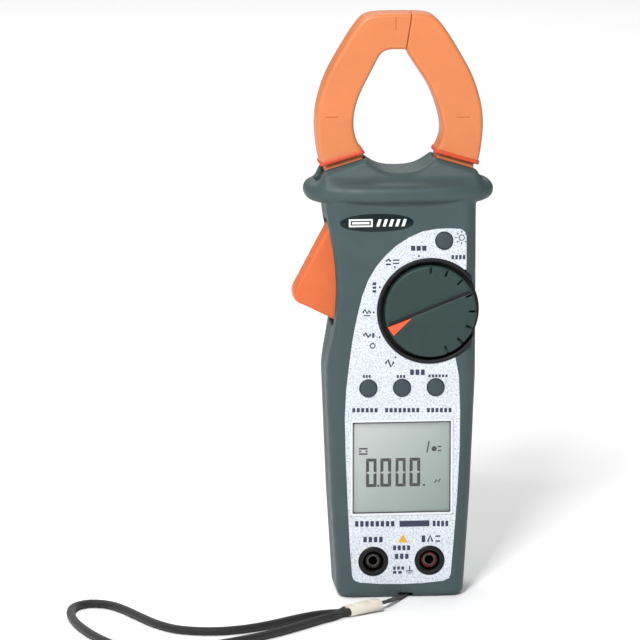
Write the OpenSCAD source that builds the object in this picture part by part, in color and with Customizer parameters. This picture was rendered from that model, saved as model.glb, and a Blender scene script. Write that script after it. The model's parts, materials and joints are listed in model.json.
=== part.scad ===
// Hand-held clamp meter with an egg-shaped jaw, a side trigger, an offset rotary selector,
// four push keys, a display, two 4 mm safety input sockets and a wrist strap.
// Standing on its lower end: +X is the reader's right, -Y is the front face, +Z runs up to the jaw.
// The origin is the centre of the flat lower end.

/* [Body] */
// Half width of the case at its widest
body_hw = 32.2; // [31.5:0.1:33]
// Distance from the parting plane to the front face
front_y = 18; // [17.6:0.1:18.6]
// Distance from the parting plane to the back face
back_y = 18; // [17:0.1:19]
// Wall thickness of both case halves
wall = 2.2; // [1.8:0.1:2.4]
// Half width of the hand guard
guard_hw = 40.7; // [39.5:0.1:43]
// Half depth of the hand guard
guard_hd = 22; // [21:0.1:24]

/* [Jaw] */
// Height of the top of the jaw above the lower end
jaw_top = 252; // [251:0.5:254]
// Half depth of the jaw
jaw_hd = 8; // [7.6:0.1:8.4]
// Opening angle of each jaw half
jaw_open = 18; // [10:1:18]

/* [Selector] */
// Selector centre, to the right of the centre plane
knob_x = 12; // [11.5:0.1:12.5]
// Selector centre height
knob_z = 125.5; // [124.5:0.1:126.5]
// Selector radius
knob_r = 19.7; // [19:0.1:20.2]
// Direction of the pointer, counter-clockwise from +X as the reader sees it
knob_at = 201.6; // [97.6:26:253.6]

/* [Keys] */
// Radius of a key cap
key_r = 3.6; // [3.3:0.1:3.65]
// Height of the row of three keys
key_z = 92.3; // [91:0.1:93]
// Spacing of the three keys
key_pitch = 14.5; // [14:0.1:15]

/* [Display] */
// Half width of the display window
lcd_hw = 21.2; // [20:0.1:21.4]
// Lower edge of the display window
lcd_z0 = 37.4; // [36.5:0.1:38.5]
// Upper edge of the display window
lcd_z1 = 77.4; // [76:0.1:78]

/* [Inputs] */
// Distance of each input socket from the centre plane
jack_x = 12.2; // [11.5:0.1:12.5]
// Height of the input sockets
jack_z = 16.3; // [16:0.1:17]
// Bore radius of the contact tube, for a 4 mm plug
jack_bore_r = 2.0; // [2:0.05:2.05]

/* [Hidden] */
$fn = 48;

slate = [0.33, 0.39, 0.40];
orange = [0.96, 0.50, 0.28];
black = [0.07, 0.07, 0.08];
brass = [0.80, 0.65, 0.32];
steel = [0.72, 0.73, 0.75];
copper = [0.72, 0.40, 0.20];

pivot = [22, 170];        // right-hand pivot, x and z; the left one mirrors it
pin_r = 2.5;
bore_r = 2.55;
head_gap = 7.0;           // half gap between the two head plates
tongue_hd = 6.6;          // half depth of a jaw's tongue between the plates
strap_x = 2.5;            // centre of the strap recess
bar_y = -9;
bar_z = 4.7;
bar_r = 1.7;

// ---------- helpers ----------
// A prism with its outline in XZ, from y0 to y1
module py(y0, y1, pts) translate([0, y1, 0]) rotate([90, 0, 0]) linear_extrude(y1 - y0) polygon(pts);
// A cylinder along Y
module cy(x, z, r, y0, y1) translate([x, y1, z]) rotate([90, 0, 0]) cylinder(r = r, h = y1 - y0);
module ring_y(x, z, ro, ri, y0, y1) difference() { cy(x, z, ro, y0, y1); cy(x, z, ri, y0 - 1, y1 + 1); }
// A box from two corners
module bx(a, b) translate(a) cube(b - a);
module mx() mirror([1, 0, 0]) children();

function arc(cx, cy, rx, ry, a0, a1, n) = [for (i = [0:n]) let (a = a0 + (a1 - a0) * i / n) [cx + rx * cos(a), cy + ry * sin(a)]];
// Plan section of the case: half width, front and back depth, inset all round
function section(hw, yf, yb, i = 0) = let (fx = 5.2, fy = 7.5, rx = 8.7, ry = 7.8, w = hw - i, f = yf - i, b = yb - i, s = 1 - i / 12) concat(
  arc(w - fx * s, -f + fy * s, fx * s, fy * s, 270, 360, 7), arc(w - rx * s, b - ry * s, rx * s, ry * s, 0, 90, 7),
  arc(-w + rx * s, b - ry * s, rx * s, ry * s, 90, 180, 7), arc(-w + fx * s, -f + fy * s, fx * s, fy * s, 180, 270, 7));
module slab(z, pts) translate([0, 0, z]) linear_extrude(0.02) polygon(pts);
function super(a, b, n, k) = [for (i = [0:k - 1]) let (t = 360 * i / k, c = cos(t), s = sin(t)) [a * sign(c) * pow(abs(c), 2 / n), b * sign(s) * pow(abs(s), 2 / n)]];

// Tube along a list of points with n sides
function unit(v) = v / norm(v);
function tang(p, i) = unit(p[min(i + 1, len(p) - 1)] - p[max(i - 1, 0)]);
// Side vectors carried along the line without twist
function carried(p, i, u) = i >= len(p) ? [] : let (t = tang(p, i), v = unit(u - (u * t) * t)) concat([v], carried(p, i + 1, v));
module tube(p, r, n = 8, up = [0, 0, 1]) {
  m = len(p);
  s = carried(p, 0, up);
  pts = [for (i = [0:m - 1]) let (t = tang(p, i), u = s[i], v = cross(t, u)) for (k = [0:n - 1]) p[i] + r * (u * cos(360 * k / n) + v * sin(360 * k / n))];
  faces = concat([[for (k = [0:n - 1]) k]], [for (i = [0:m - 2]) for (k = [0:n - 1]) let (a = i * n + k, b = i * n + (k + 1) % n) [a, a + n, b + n, b]], [[for (k = [n - 1:-1:0]) (m - 1) * n + k]]);
  polyhedron(pts, faces, convexity = 10);
}
// A smooth line through hand-placed points
function cr(a, b, c, d, t) = 0.5 * ((2 * b) + (c - a) * t + (2 * a - 5 * b + 4 * c - d) * t * t + (3 * b - a - 3 * c + d) * t * t * t);
function smooth(p, k) = [for (i = [0:len(p) - 2]) for (j = [0:k - 1]) cr(p[max(i - 1, 0)], p[i], p[i + 1], p[min(i + 2, len(p) - 1)], j / k), p[len(p) - 1]];

// ---------- case ----------
module body_outer() hull() {
  slab(0, section(24.5, 14.6, 14.8)); slab(0.9, section(26, 16.4, 16.5)); slab(3, section(27.2, 17.6, 17.6));
  slab(8, section(27.8, front_y, back_y)); slab(45, section(30.1, front_y, back_y)); slab(97, section(body_hw, front_y, back_y)); slab(174, section(body_hw, front_y, back_y));
}
module body_inner() hull() {
  slab(2.6, section(25.4, 16, 16, wall)); slab(8.1, section(27.8, front_y, back_y, wall)); slab(45.1, section(30.1, front_y, back_y, wall));
  slab(97.1, section(body_hw, front_y, back_y, wall)); slab(174.2, section(body_hw, front_y, back_y, wall));
}
module guard() hull() {
  slab(172.1, super(guard_hw - 3.2, guard_hd - 2.4, 2.9, 56)); slab(173.7, super(guard_hw - 0.8, guard_hd - 0.7, 2.9, 56));
  slab(176.2, super(guard_hw, guard_hd, 2.9, 56)); slab(178.6, super(guard_hw - 0.8, guard_hd - 0.7, 2.9, 56)); slab(180.3, super(guard_hw - 3.2, guard_hd - 2.4, 2.9, 56));
}
cradle = [[-15, 190.4], [-12.6, 188.6], [-10, 186.9], [-7.2, 185.7], [-4, 185.1], [0, 184.9], [4, 185.1], [7.2, 185.7], [10, 186.9], [12.6, 188.6], [15, 190.4]];
head_outline = concat([[-33.6, 178], [-33.5, 183.4], [-32.6, 185.1]], cradle, [[32.6, 185.1], [33.5, 183.4], [33.6, 178]]);
module head() intersection() {
  py(-20, 20, head_outline);
  translate([-40, 0, 0]) rotate([90, 0, 90]) linear_extrude(80) polygon([[-16, 178], [-15.4, 181.5], [-13.2, 186.5], [-11.8, 191], [11.8, 191], [13.2, 186.5], [15.4, 181.5], [16, 178]]);
}
// Hollow for the jaw tongues, levers and springs
module head_hollow() {
  bx([-37.6, -head_gap, 174.1], [37.6, head_gap, 181.4]);
  difference() { bx([-50, -head_gap, 181.3], [50, head_gap, 200]); py(-10, 10, concat(cradle, [[14.2, 187.2], [10.5, 184.3], [5, 182.5], [-5, 182.5], [-10.5, 184.3], [-14.2, 187.2]])); }
}
module shell_solid() { body_outer(); guard(); head(); }
// Finger scoop down the trigger side, and the wall behind it
scoop_in = arc(-134.4, 134.2, 106.8, 106.8, -18, 18, 14);
scoop_out = arc(-134.4, 134.2, 106.8 + wall, 106.8 + wall, 18, -18, 14);
module scoop() py(-40, 40, concat([[-70, 101.2]], scoop_in, [[-70, 167.2]]));
module scoop_wall(y0, y1) py(y0, y1, concat([for (p = scoop_in) if (p[1] > 110.2 && p[1] < 160) p - [0.6, 0]], [for (p = scoop_out) if (p[1] > 110.2 && p[1] < 160) p]));
module case_hollow() { body_inner(); head_hollow(); }
case_screw_at = [[-19.6, 9], [19.6, 9], [-25.4, 103], [25.4, 103]];

label_outer = [[-21.4, 10.2], [-20.6, 8.2], [-18.1, 7.1], [-9, 6.3], [0, 6.1], [9, 6.3], [18.1, 7.1], [20.6, 8.2], [21.4, 10.2], [22.5, 24], [24, 44], [25, 66], [25.1, 82], [24.5, 97], [22.9, 105.2], [22.0, 108.4],
  [22.0, 143.0], [27.5, 143.2], [27.5, 157.4], [26.9, 159.4], [25.2, 160.7], [20, 161.1], [14.5, 160.9], [8.6, 159.9], [2.6, 157.3], [-2.6, 153.9], [-7.2, 149.8], [-11.3, 144.9], [-14.6, 139.3], [-17.2, 132.4], [-18.9, 125.5], [-20.4, 118.5], [-21.6, 111.5], [-22.9, 101.5], [-24.1, 91], [-24.6, 79], [-24.2, 62], [-23.3, 41], [-22.4, 23]];
lcd_frame = [[-lcd_hw - 1.1, lcd_z0 - 0.4], [-lcd_hw - 0.4, lcd_z0 - 1.1], [lcd_hw + 0.4, lcd_z0 - 1.1], [lcd_hw + 1.1, lcd_z0 - 0.4], [lcd_hw + 1.1, lcd_z1 + 0.4], [lcd_hw + 0.4, lcd_z1 + 1.1], [-lcd_hw - 0.4, lcd_z1 + 1.1], [-lcd_hw - 1.1, lcd_z1 + 0.4]];
key_at = [[-key_pitch, key_z], [0, key_z], [key_pitch, key_z], [17.9, 155.8]];
hold_at = key_at[3];

module front_openings() {
  py(-19, -front_y + 0.5, label_outer);
  py(-19, -10, lcd_frame);
  for (k = key_at) cy(k[0], k[1], key_r + 0.3, -25, -10);
  cy(knob_x, knob_z, 21.6, -25, -14.4);
  cy(knob_x, knob_z, 4.45, -25, -10);
  for (s = [-1, 1]) cy(s * jack_x, jack_z, 6.5, -25, -10);
  translate([-11, -front_y - 1, 163.9]) rotate([-90, 0, 0]) linear_extrude(1.5) polygon(super(15.9, 3.9, 2.2, 40));
}
module strap_recess() { bx([strap_x - 4.4, -14.2, -1], [strap_x + 4.4, -3.6, 8.7]); bx([strap_x - 3.6, -30, -1], [strap_x + 2.6, -14, 2.0]); }

module front_case() color(slate) difference() {
  union() {
    difference() { intersection() { shell_solid(); bx([-60, -40, -1], [60, 0, 260]); } case_hollow(); }
    // selector cup, screw bosses, strap box
    scoop_wall(-16.6, 0);
    intersection() { cy(knob_x, knob_z, 23.2, -17, -12.9); bx([-30, -20, 90], [31, 0, 160]); }
    for (s = [0, 1]) cy(case_screw_at[s][0], case_screw_at[s][1], 3.4, -16.6, 0);
    for (s = [2, 3]) cy(case_screw_at[s][0], case_screw_at[s][1], 3.4, -16.6, 0);
    bx([strap_x - 5.6, -16.6, 1.2], [strap_x + 5.6, -2.4, 10.3]);
    for (s = [-1, 1]) cy(s * pivot[0], pivot[1], 5, -17, -7.2);
    // raised lip round the selector
    intersection() { ring_y(knob_x, knob_z, 22.9, 21.6, -front_y - 0.5, -16); bx([-20, -20, 90], [29.6, -10, 160]); }
  }
  front_openings();
  strap_recess();
  scoop();
  for (s = case_screw_at) cy(s[0], s[1], 1.3, -14, 1);
  for (s = [-1, 1]) cy(s * pivot[0], pivot[1], pin_r, -13, -5);
  translate([strap_x - 5.1, bar_y, bar_z]) rotate([0, 90, 0]) cylinder(r = bar_r, h = 10.2);
  bx([-40, -8, 117.6], [-20, 1, 163.5]);
  cy(detent_at[0], detent_at[1], 1.2, -14.1, -10);
}
detent_at = [knob_x - 11.5, knob_z];

bay = [[-11.9, 3.6, 22.4], [11.9, 20, 71.2]];
cover_at = [[-14.3, 15.7, 18.1], [14.3, 20, 80.3]];
module rear_case() color(slate) difference() {
  union() {
    difference() { intersection() { shell_solid(); bx([-60, 0, -1], [60, 40, 260]); } case_hollow(); }
    bx([-13.6, 2.2, 20.4], [13.6, 17, 73.4]);
    bx([-5, 8, 72], [5, 17, 79]);
    bx([-16.2, 13.7, 16.2], [16.2, 16.9, 82.2]);
    scoop_wall(0, 16.4);
    for (s = case_screw_at) cy(s[0], s[1], 4.2, 0, s[1] < 50 ? 16.2 : 17);
    for (s = [-1, 1]) cy(s * pivot[0], pivot[1], 5, 7.6, 17);
  }
  bx(bay[0], bay[1]);
  bx(cover_at[0], cover_at[1]);
  scoop();
  cy(0, 76.4, 1.5, 9, 20);
  for (s = case_screw_at) { cy(s[0], s[1], 1.8, -1, 20); cy(s[0], s[1], 3.1, 14.4, 20); }
  for (s = [-1, 1]) cy(s * pivot[0], pivot[1], pin_r, 5, 13.5);
  bx([-40, -1, 117.6], [-20, 8, 163.5]);
}

module front_label() color([0.86, 0.88, 0.91]) difference() {
  py(-front_y, -front_y + 0.5, label_outer);
  py(-19, -10, lcd_frame);
  for (k = key_at) cy(k[0], k[1], key_r + 0.3, -25, -10);
  cy(knob_x, knob_z, 22.95, -25, -10);
  for (s = [-1, 1]) cy(s * jack_x, jack_z, 6.55, -25, -10);
}
module badge_plate() color([0.05, 0.14, 0.14]) translate([-11, -front_y - 0.25, 163.9]) rotate([-90, 0, 0]) linear_extrude(0.75) polygon(super(15.8, 3.8, 2.2, 40));

// ---------- display ----------
module lcd_bezel() color([0.93, 0.94, 0.95]) difference() {
  py(-front_y - 0.15, -16, [for (p = lcd_frame) [p[0] * 0.998, lcd_z0 + 20 + (p[1] - lcd_z0 - 20) * 0.998]]);
  bx([-lcd_hw, -19, lcd_z0], [lcd_hw, -10, lcd_z1]);
}
module lcd_lens() color([0.8, 0.85, 0.84, 0.35]) bx([-lcd_hw + 0.03, -front_y + 0.35, lcd_z0 + 0.03], [lcd_hw - 0.03, -16.4, lcd_z1 - 0.03]);
module lcd_glass() color([0.70, 0.74, 0.72]) bx([-23.4, -15.7, 35.6], [23.4, -13.9, 79.4]);
module lcd_backlight() color([0.9, 0.92, 0.9]) bx([-21.5, -13.8, 37], [21.5, -11.6, 78]);
module zebra_strips() color([0.25, 0.25, 0.27]) for (z = [35.7, 77.2 + 0.9]) bx([-22, -13.85, z], [22, -10.45, z + 1.2]);

// ---------- electronics ----------
pcb_outline = [[-24.6, 24.6], [24.6, 24.6], [26.4, 45], [27.8, 70], [28.4, 95], [28.4, 158], [24, 161.5], [-19, 161.5], [-23.6, 157], [-24.3, 140], [-24.6, 125], [-26.6, 112], [-27.8, 95], [-27.4, 70], [-26.2, 45]];
module main_pcb() color([0.10, 0.36, 0.20]) difference() {
  py(-10.4, -8.8, pcb_outline);
  for (i = [2, 3]) cy(case_screw_at[i][0], case_screw_at[i][1], 3.8, -20, 0);
  cy(knob_x, knob_z, 2.2, -20, 0);
}
module pcb_chips() color([0.09, 0.09, 0.10]) {
  bx([-8, -8.8, 96], [8, -7, 110]);
  bx([-20, -8.8, 82], [-10, -7.2, 92]);
  bx([12, -8.8, 80], [22, -7.2, 88]);
  bx([-6, -8.8, 30], [6, -6.6, 36]);
  for (x = [-18, -12, 14, 20]) bx([x - 1.6, -8.8, 40], [x + 1.6, -7.6, 44]);
  for (z = [50, 56, 62]) bx([17, -8.8, z], [23, -5.6, z + 3]);
}
module tact_switches() color([0.15, 0.15, 0.16]) for (k = key_at) { bx([k[0] - 3, -12.1, k[1] - 3], [k[0] + 3, -10.4, k[1] + 3]); cy(k[0], k[1], 1.5, -12.6, -12.1); }
module buzzer() color([0.1, 0.1, 0.1]) ring_y(-16, 105, 6, 1, -8.8, -4.8);

// ---------- selector ----------
function at(r, a) = [knob_x + r * cos(a), knob_z + r * sin(a)];
module rotary_knob() color([0.27, 0.35, 0.35]) difference() {
  union() {
    cy(knob_x, knob_z, knob_r - 0.6, -20.6, -15);
    cy(knob_x, knob_z, knob_r, -20.0, -15);
    // grip: one straight wall along a diameter, the other side falling away
    intersection() {
      cy(knob_x, knob_z, knob_r - 0.6, -22, -20);
      translate([knob_x, 0, knob_z]) rotate([0, -knob_at, 0]) translate([-30, 0, 0]) rotate([90, 0, 90]) linear_extrude(60) polygon([[-20, -1.2], [-21.9, -1.2], [-21.9, 1.6], [-21.3, 8], [-20.5, 17], [-20, 17]]);
    }
    cy(knob_x, knob_z, 4.1, -15.1, -12.6);
    intersection() { cy(knob_x, knob_z, 4.1, -12.7, -11.4); bx([knob_x - 2.9, -13, knob_z - 6], [knob_x + 2.9, -11, knob_z + 6]); }
  }
  for (k = [0:7]) translate([knob_x, 0, knob_z]) rotate([0, -(knob_at + 91 + 22.5 * k), 0]) bx([knob_r - 3.4, -30, -0.35], [knob_r + 2, -18.6, 0.35]);
  translate([knob_x, 0, knob_z]) rotate([0, -knob_at, 0]) translate([0, -21.0, 0]) rotate([90, 0, 0]) linear_extrude(3) polygon([[6.5, -1.05], [knob_r - 0.9, -1.03], [knob_r - 2.3, 4.4]]);
}
module knob_pointer() color([0.90, 0.34, 0.18]) translate([knob_x, 0, knob_z]) rotate([0, -knob_at, 0]) translate([0, -21.0, 0]) rotate([90, 0, 0]) linear_extrude(0.95) polygon([[6.7, -0.99], [knob_r - 1.0, -0.97], [knob_r - 2.3, 4.25]]);
module selector_rotor() color([0.92, 0.90, 0.84]) difference() {
  union() { cy(knob_x, knob_z, 15, -12.5, -11.5); cy(knob_x, knob_z, 5.6, -11.6, -10.75); }
  intersection() { cy(knob_x, knob_z, 4.15, -14, -10); bx([knob_x - 2.95, -14, knob_z - 6], [knob_x + 2.95, -10, knob_z + 6]); }
  ring_y(knob_x, knob_z, 12.6, 10.4, -13, -11.9);
}
module rotor_wipers() color(brass) for (a = [60, 180, 300]) translate([knob_x, 0, knob_z]) rotate([0, -a, 0]) bx([7, -11.5, -1.2], [13, -11.2, 1.2]);
module detent_ball() color(steel) translate([detent_at[0], -13.0, detent_at[1]]) sphere(r = 0.8);
module detent_spring() color(steel) ring_y(detent_at[0], detent_at[1], 0.9, 0.35, -14.1, -13.72);

// ---------- keys ----------
module key(x, z) color([0.30, 0.36, 0.37]) {
  cy(x, z, key_r - 0.35, -19.3, -18.9);
  cy(x, z, key_r, -18.95, -15.3);
  cy(x, z, key_r + 1, -15.5, -14.7);
  cy(x, z, 1.6, -14.8, -13.4);
}
module left_key() key(key_at[0][0], key_at[0][1]);
module middle_key() key(key_at[1][0], key_at[1][1]);
module right_key() key(key_at[2][0], key_at[2][1]);
module hold_key() key(hold_at[0], hold_at[1]);

// ---------- inputs ----------
module rev(x, pts) translate([x, 0, jack_z]) rotate([90, 0, 0]) rotate_extrude() polygon(pts);
module jack_shroud(x) color(black) rev(x, [[4.4, 18.5], [5.9, 18.5], [6.45, 18.1], [6.45, 14.4], [5.6, 14.4], [5.6, 1.2], [2.9, 1.2], [2.9, 3.4], [4.4, 3.4]]);
module jack_core(x) rev(x, [[2.75, 16.9], [3.3, 16.9], [3.45, 16.6], [3.45, 3.4], [2.75, 3.4]]);
module socket(x) color([0.80, 0.72, 0.50]) { rev(x, [[jack_bore_r, 16.3], [2.75, 16.3], [2.75, -2.6], [jack_bore_r, -2.6]]); bx([x - 1, -1.0, jack_z + 2.6], [x + 1, -0.3, 26.2]); bx([x - 1, -8.8, 25.4], [x + 1, -0.3, 26.2]); }
module com_jack_shroud() jack_shroud(-jack_x);
module com_jack_core() color(black) jack_core(-jack_x);
module com_socket() socket(-jack_x);
module volt_jack_shroud() jack_shroud(jack_x);
module volt_jack_core() color([0.62, 0.08, 0.08]) jack_core(jack_x);
module volt_socket() socket(jack_x);

// ---------- power ----------
module batteries() color([0.20, 0.22, 0.28]) for (s = [-1, 1]) translate([s * 5.6, 9.5, 0]) { translate([0, 0, 25]) cylinder(r = 5.2, h = 43.5); if (s > 0) translate([0, 0, 68.4]) cylinder(r = 1.9, h = 0.9); else translate([0, 0, 24.1]) cylinder(r = 1.9, h = 0.95); }
module battery_contacts() color(steel) {
  bx([-11, 4.4, 22.45], [11, 14.6, 22.9]);
  translate([5.6, 9.5, 22.9]) difference() { cylinder(r1 = 3.6, r2 = 2.2, h = 2.05); translate([0, 0, -0.1]) cylinder(r1 = 3.1, r2 = 1.7, h = 2.3); }
  translate([-5.6, 9.5, 22.9]) cylinder(r = 2.5, h = 1.15);
  bx([1, 4.4, 70.7], [11, 14.6, 71.15]); bx([-11, 4.4, 70.7], [-1, 14.6, 71.15]);
  translate([5.6, 9.5, 69.35]) cylinder(r = 2.4, h = 1.4);
  translate([-5.6, 9.5, 68.55]) difference() { cylinder(r1 = 2.2, r2 = 3.6, h = 2.2); translate([0, 0, -0.1]) cylinder(r1 = 1.7, r2 = 3.1, h = 2.4); }
}
module battery_cover() color(slate) difference() {
  union() { bx([-14, 16.0, 18.4], [14, back_y, 80]); bx([-11.2, 15, 24], [11.2, 16.2, 70]); }
  cy(0, 76.4, 1.75, 10, 20); cy(0, 76.4, 3.1, 16.9, 20);
  for (i = [0:4]) bx([-9, back_y - 0.6, 24 + i * 2.4], [9, back_y + 1, 25.1 + i * 2.4]);
}
module screw(x, z, r, y0, y1, hr, hh) { cy(x, z, r, y0, y1); difference() { cy(x, z, hr, y1 - hh, y1); bx([x - hr, y1 - 0.6, z - 0.4], [x + hr, y1 + 1, z + 0.4]); bx([x - 0.4, y1 - 0.6, z - hr], [x + 0.4, y1 + 1, z + hr]); } }
module battery_cover_screw() color(steel) screw(0, 76.4, 1.15, 9.6, 17.9, 2.9, 1);
module case_screws() color(steel) for (s = case_screw_at) screw(s[0], s[1], 1.25, -13.8, 16.4, 2.8, 2);

// ---------- jaw ----------
// Matched points of the outer and inner edge, from the top centre to the root, right half
jo = [[0, 252], [5, 252], [10, 251.8], [13.4, 251.1], [16.4, 249.1], [21.1, 242.8], [26.1, 234.6], [30.3, 227.0], [33.2, 219.6], [35.2, 211.6], [35.8, 203.4], [35.0, 194.5], [33.5, 186.8]];
ji = [[0, 236.6], [1.2, 236.6], [2.6, 236.3], [3.6, 235.2], [4.8, 233.0], [7.4, 228.9], [10.5, 224.3], [13.4, 219.4], [15.5, 214.4], [17.3, 208.6], [18.3, 203.0], [17.7, 197.6], [15.2, 192.2]];
jil = [[0, 236.6], [3, 236.6], [5.8, 236.2], [7.8, 235.0], [9.3, 233.0], [11.6, 228.6], [14.1, 223.8], [16.5, 219.0], [18.4, 214.0], [19.6, 208.6], [19.7, 203.0], [18.3, 197.6], [15.2, 192.2]];
N = len(jo) - 1;
function up(p) = [p[0], p[1] + (p[1] - 186.8) * (jaw_top - 252) / 65.2];
so = smooth([for (p = jo) up(p)], 2);
si = smooth([for (p = ji) up(p)], 2);
sil = smooth([for (p = jil) up(p)], 2);
M = len(so) - 1;
function jp(i, s) = si[i] + (so[i] - si[i]) * s;
function jl(i, s) = let (q = sil[i] + (so[i] - sil[i]) * s) [-q[0], q[1]];
// Band of the ring between shares s0 and s1 of its width, point a to b of the right half
function band_r(a, b, s0, s1) = concat([for (i = [a:b]) jp(i, s1)], [for (i = [b:-1:a]) jp(i, s0)]);
function band_l(a, b, s0, s1) = concat([for (i = [a:b]) jl(i, s1)], [for (i = [b:-1:a]) jl(i, s0)]);
// Whole arch from the left point a to the right point b
function arch(a, b, s0, s1) = concat([for (i = [a:-1:1]) jl(i, s1)], [for (i = [0:b]) jp(i, s1)], [for (i = [b:-1:0]) jp(i, s0)], [for (i = [1:a]) jl(i, s0)]);
// The parting line of the jaws leans to the right at the top
cut_l = [[-60, 150], [-60, 270], [7.9, 270], [1.9, 232.7], [1.2, 225], [0, 215], [0, 150]];
cut_r = [[60, 150], [60, 270], [8.05, 270], [2.05, 232.7], [1.35, 225], [0.15, 215], [0.15, 150]];
root_l = [[-15.2, 192.2], [-33.5, 186.8]];
tongue = [[15.9, 193.6], [15.9, 184], [17.2, 178.4], [22, 177.6], [27, 177.8], [30, 179.6], [31.6, 184], [32.4, 190]];
lever_pocket = [[18.6, 177], [18.4, 193.4], [27.6, 192.2], [27.2, 177]];
module jaw_solid(y0, y1, right) {
  d = jaw_hd;
  intersection() {
    union() {
      py(max(y0, -d + 0.9), min(y1, d - 0.9), arch(M, M, 0, 1));
      py(max(y0, -d), min(y1, d), arch(M, M, 0.065, 0.935));
    }
    py(-20, 20, right ? cut_r : cut_l);
  }
  mirror([right ? 0 : 1, 0, 0]) py(max(y0, -tongue_hd), min(y1, tongue_hd), tongue);
}
module jaw_half(y0, y1, right) color(orange) difference() {
  jaw_solid(y0, y1, right);
  intersection() { py(-5.9, 5.9, arch(M - 2, M - 2, 0.14, 0.86)); py(-20, 20, right ? cut_r : cut_l); }
  mirror([right ? 0 : 1, 0, 0]) py(-2.6, 2.6, lever_pocket);
}
module left_jaw_front() jaw_half(-20, 0, false);
module left_jaw_rear() jaw_half(0, 20, false);
module right_jaw_front() jaw_half(-20, 0, true);
module right_jaw_rear() jaw_half(0, 20, true);
core_l = [[-60, 150], [-60, 270], [10.9, 270], [4.5, 236.3 - 3.6], [3.9, 225], [0, 215], [0, 150]];
module left_core() color(steel) intersection() { py(-4, 4, arch(M - 3, M - 3, 0.27, 0.73)); py(-20, 20, [for (p = cut_l) [p[0] - 0.05, p[1]]]); }
module right_core() color(steel) intersection() { py(-4, 4, arch(M - 3, M - 3, 0.27, 0.73)); py(-20, 20, [for (p = cut_r) [p[0] + 0.05, p[1]]]); }
module left_coil() color(copper) difference() { py(-5.6, 5.6, band_l(12, 21, 0.17, 0.83)); py(-4.1, 4.1, band_l(11, 22, 0.262, 0.738)); }
module right_coil() color(copper) difference() { py(-5.6, 5.6, band_r(12, 21, 0.17, 0.83)); py(-4.1, 4.1, band_r(11, 22, 0.262, 0.738)); }

// ---------- levers with meshing sectors ----------
gear_z = 22; gear_m = 2; rp = 22; rb = rp * cos(20); ra = 23.75; rf = 19.6;
function acosd(x) = acos(min(1, x));
function inv(a) = tan(a) * 180 / PI - a;
function half_at(r) = 90 / gear_z - 0.22 + inv(20) - inv(acosd(rb / r));
flank = [for (i = [0:6]) rb + 0.02 + (ra - rb - 0.02) * i / 6];
function tooth(c) = concat([[rf - 1, c - half_at(flank[0]) - 0.3]], [for (r = flank) [r, c - half_at(r)]], [for (i = [6:-1:0]) [flank[i], c + half_at(flank[i])]], [[rf - 1, c + half_at(flank[0]) + 0.3]]);
function polar(p, c) = [for (q = p) [c[0] + q[0] * cos(q[1]), c[1] + q[0] * sin(q[1])]];
pl = [-pivot[0], pivot[1]];
module lever(c, teeth, a0, a1, s) difference() {
  union() {
    cy(c[0], c[1], 6, -2.5, 2.5);
    py(-2.5, 2.5, concat([c], polar([for (i = [0:8]) [rf, a0 + (a1 - a0) * i / 8]], c)));
    for (t = teeth) py(-2.5, 2.5, polar(tooth(t), c));
    mirror([s > 0 ? 0 : 1, 0, 0]) py(-2.5, 2.5, [[18.7, 170], [18.6, 193.2], [27.5, 192.1], [27.1, 172]]);
  }
  cy(c[0], c[1], bore_r, -10, 10);
}
module left_lever() color([0.62, 0.63, 0.65]) difference() {
  union() {
    lever(pl, [0, -360 / gear_z, -720 / gear_z], -39, 5, -1);
    py(-2.5, 2.5, [[-27.6, 172], [-22, 165], [-21.8, 158], [-22.6, 124], [-29, 124], [-31, 140], [-29.6, 158]]);
  }
  for (z = [132, 150]) cy(-26, z, 1.2, -10, 10);
}
module right_lever() color([0.62, 0.63, 0.65]) lever([pivot[0], pivot[1]], [180 - 180 / gear_z, 180 + 180 / gear_z, 180 + 540 / gear_z], 174, 219, 1);
trigger_out = [[-30.4, 161.4], [-31.9, 158.4], [-34.6, 153.6], [-45.0, 134.0], [-45.5, 131.6], [-45.1, 129.4], [-43.6, 128.0], [-40, 126.4], [-30, 121.4], [-24.4, 118.6], [-21.6, 119.4], [-20.2, 124], [-20.6, 140], [-22.4, 157], [-25.4, 161.4]];
module trigger() color(orange) difference() {
  py(-7.4, 7.4, trigger_out);
  py(-2.55, 2.55, [[-28.4, 172], [-21.9, 165], [-21.7, 158], [-22.5, 123.9], [-29.1, 123.9], [-31.1, 140], [-29.7, 158], [-29.7, 170]]);
  for (z = [132, 150]) { cy(-26, z, 1.2, -9, 9); cy(-26, z, 2.3, 5.6, 9); }
}
module trigger_screws() color(steel) for (z = [132, 150]) screw(-26, z, 1.15, -6.6, 7.2, 2.2, 1.5);
module pivot_pins() color(steel) for (s = [-1, 1]) cy(s * pivot[0], pivot[1], pin_r, -12.8, 13.4);
// Torsion springs on the pins: four turns and two legs
function coil_pts(s) = concat([[s * (pivot[0] + 3.6), 3.2, pivot[1] - 7.5], [s * (pivot[0] + 3.6), 3.2, pivot[1] - 2]], [for (i = [0:48]) let (a = i * 30) [s * (pivot[0] + 3.6 * cos(a)), 3.2 + i * 3.6 / 48, pivot[1] + 3.6 * sin(a)]], [[s * (pivot[0] + 3.6), 6.8, pivot[1] + 3.3]]);
module left_jaw_spring() color(steel) tube(coil_pts(-1), 0.4, 8, [0, 1, 0]);
module right_jaw_spring() color(steel) tube(coil_pts(1), 0.4, 8, [0, 1, 0]);

// ---------- wrist strap ----------
module strap_bar() color(steel) translate([strap_x - 5, bar_y, bar_z]) rotate([0, 90, 0]) cylinder(r = bar_r, h = 10);
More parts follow.
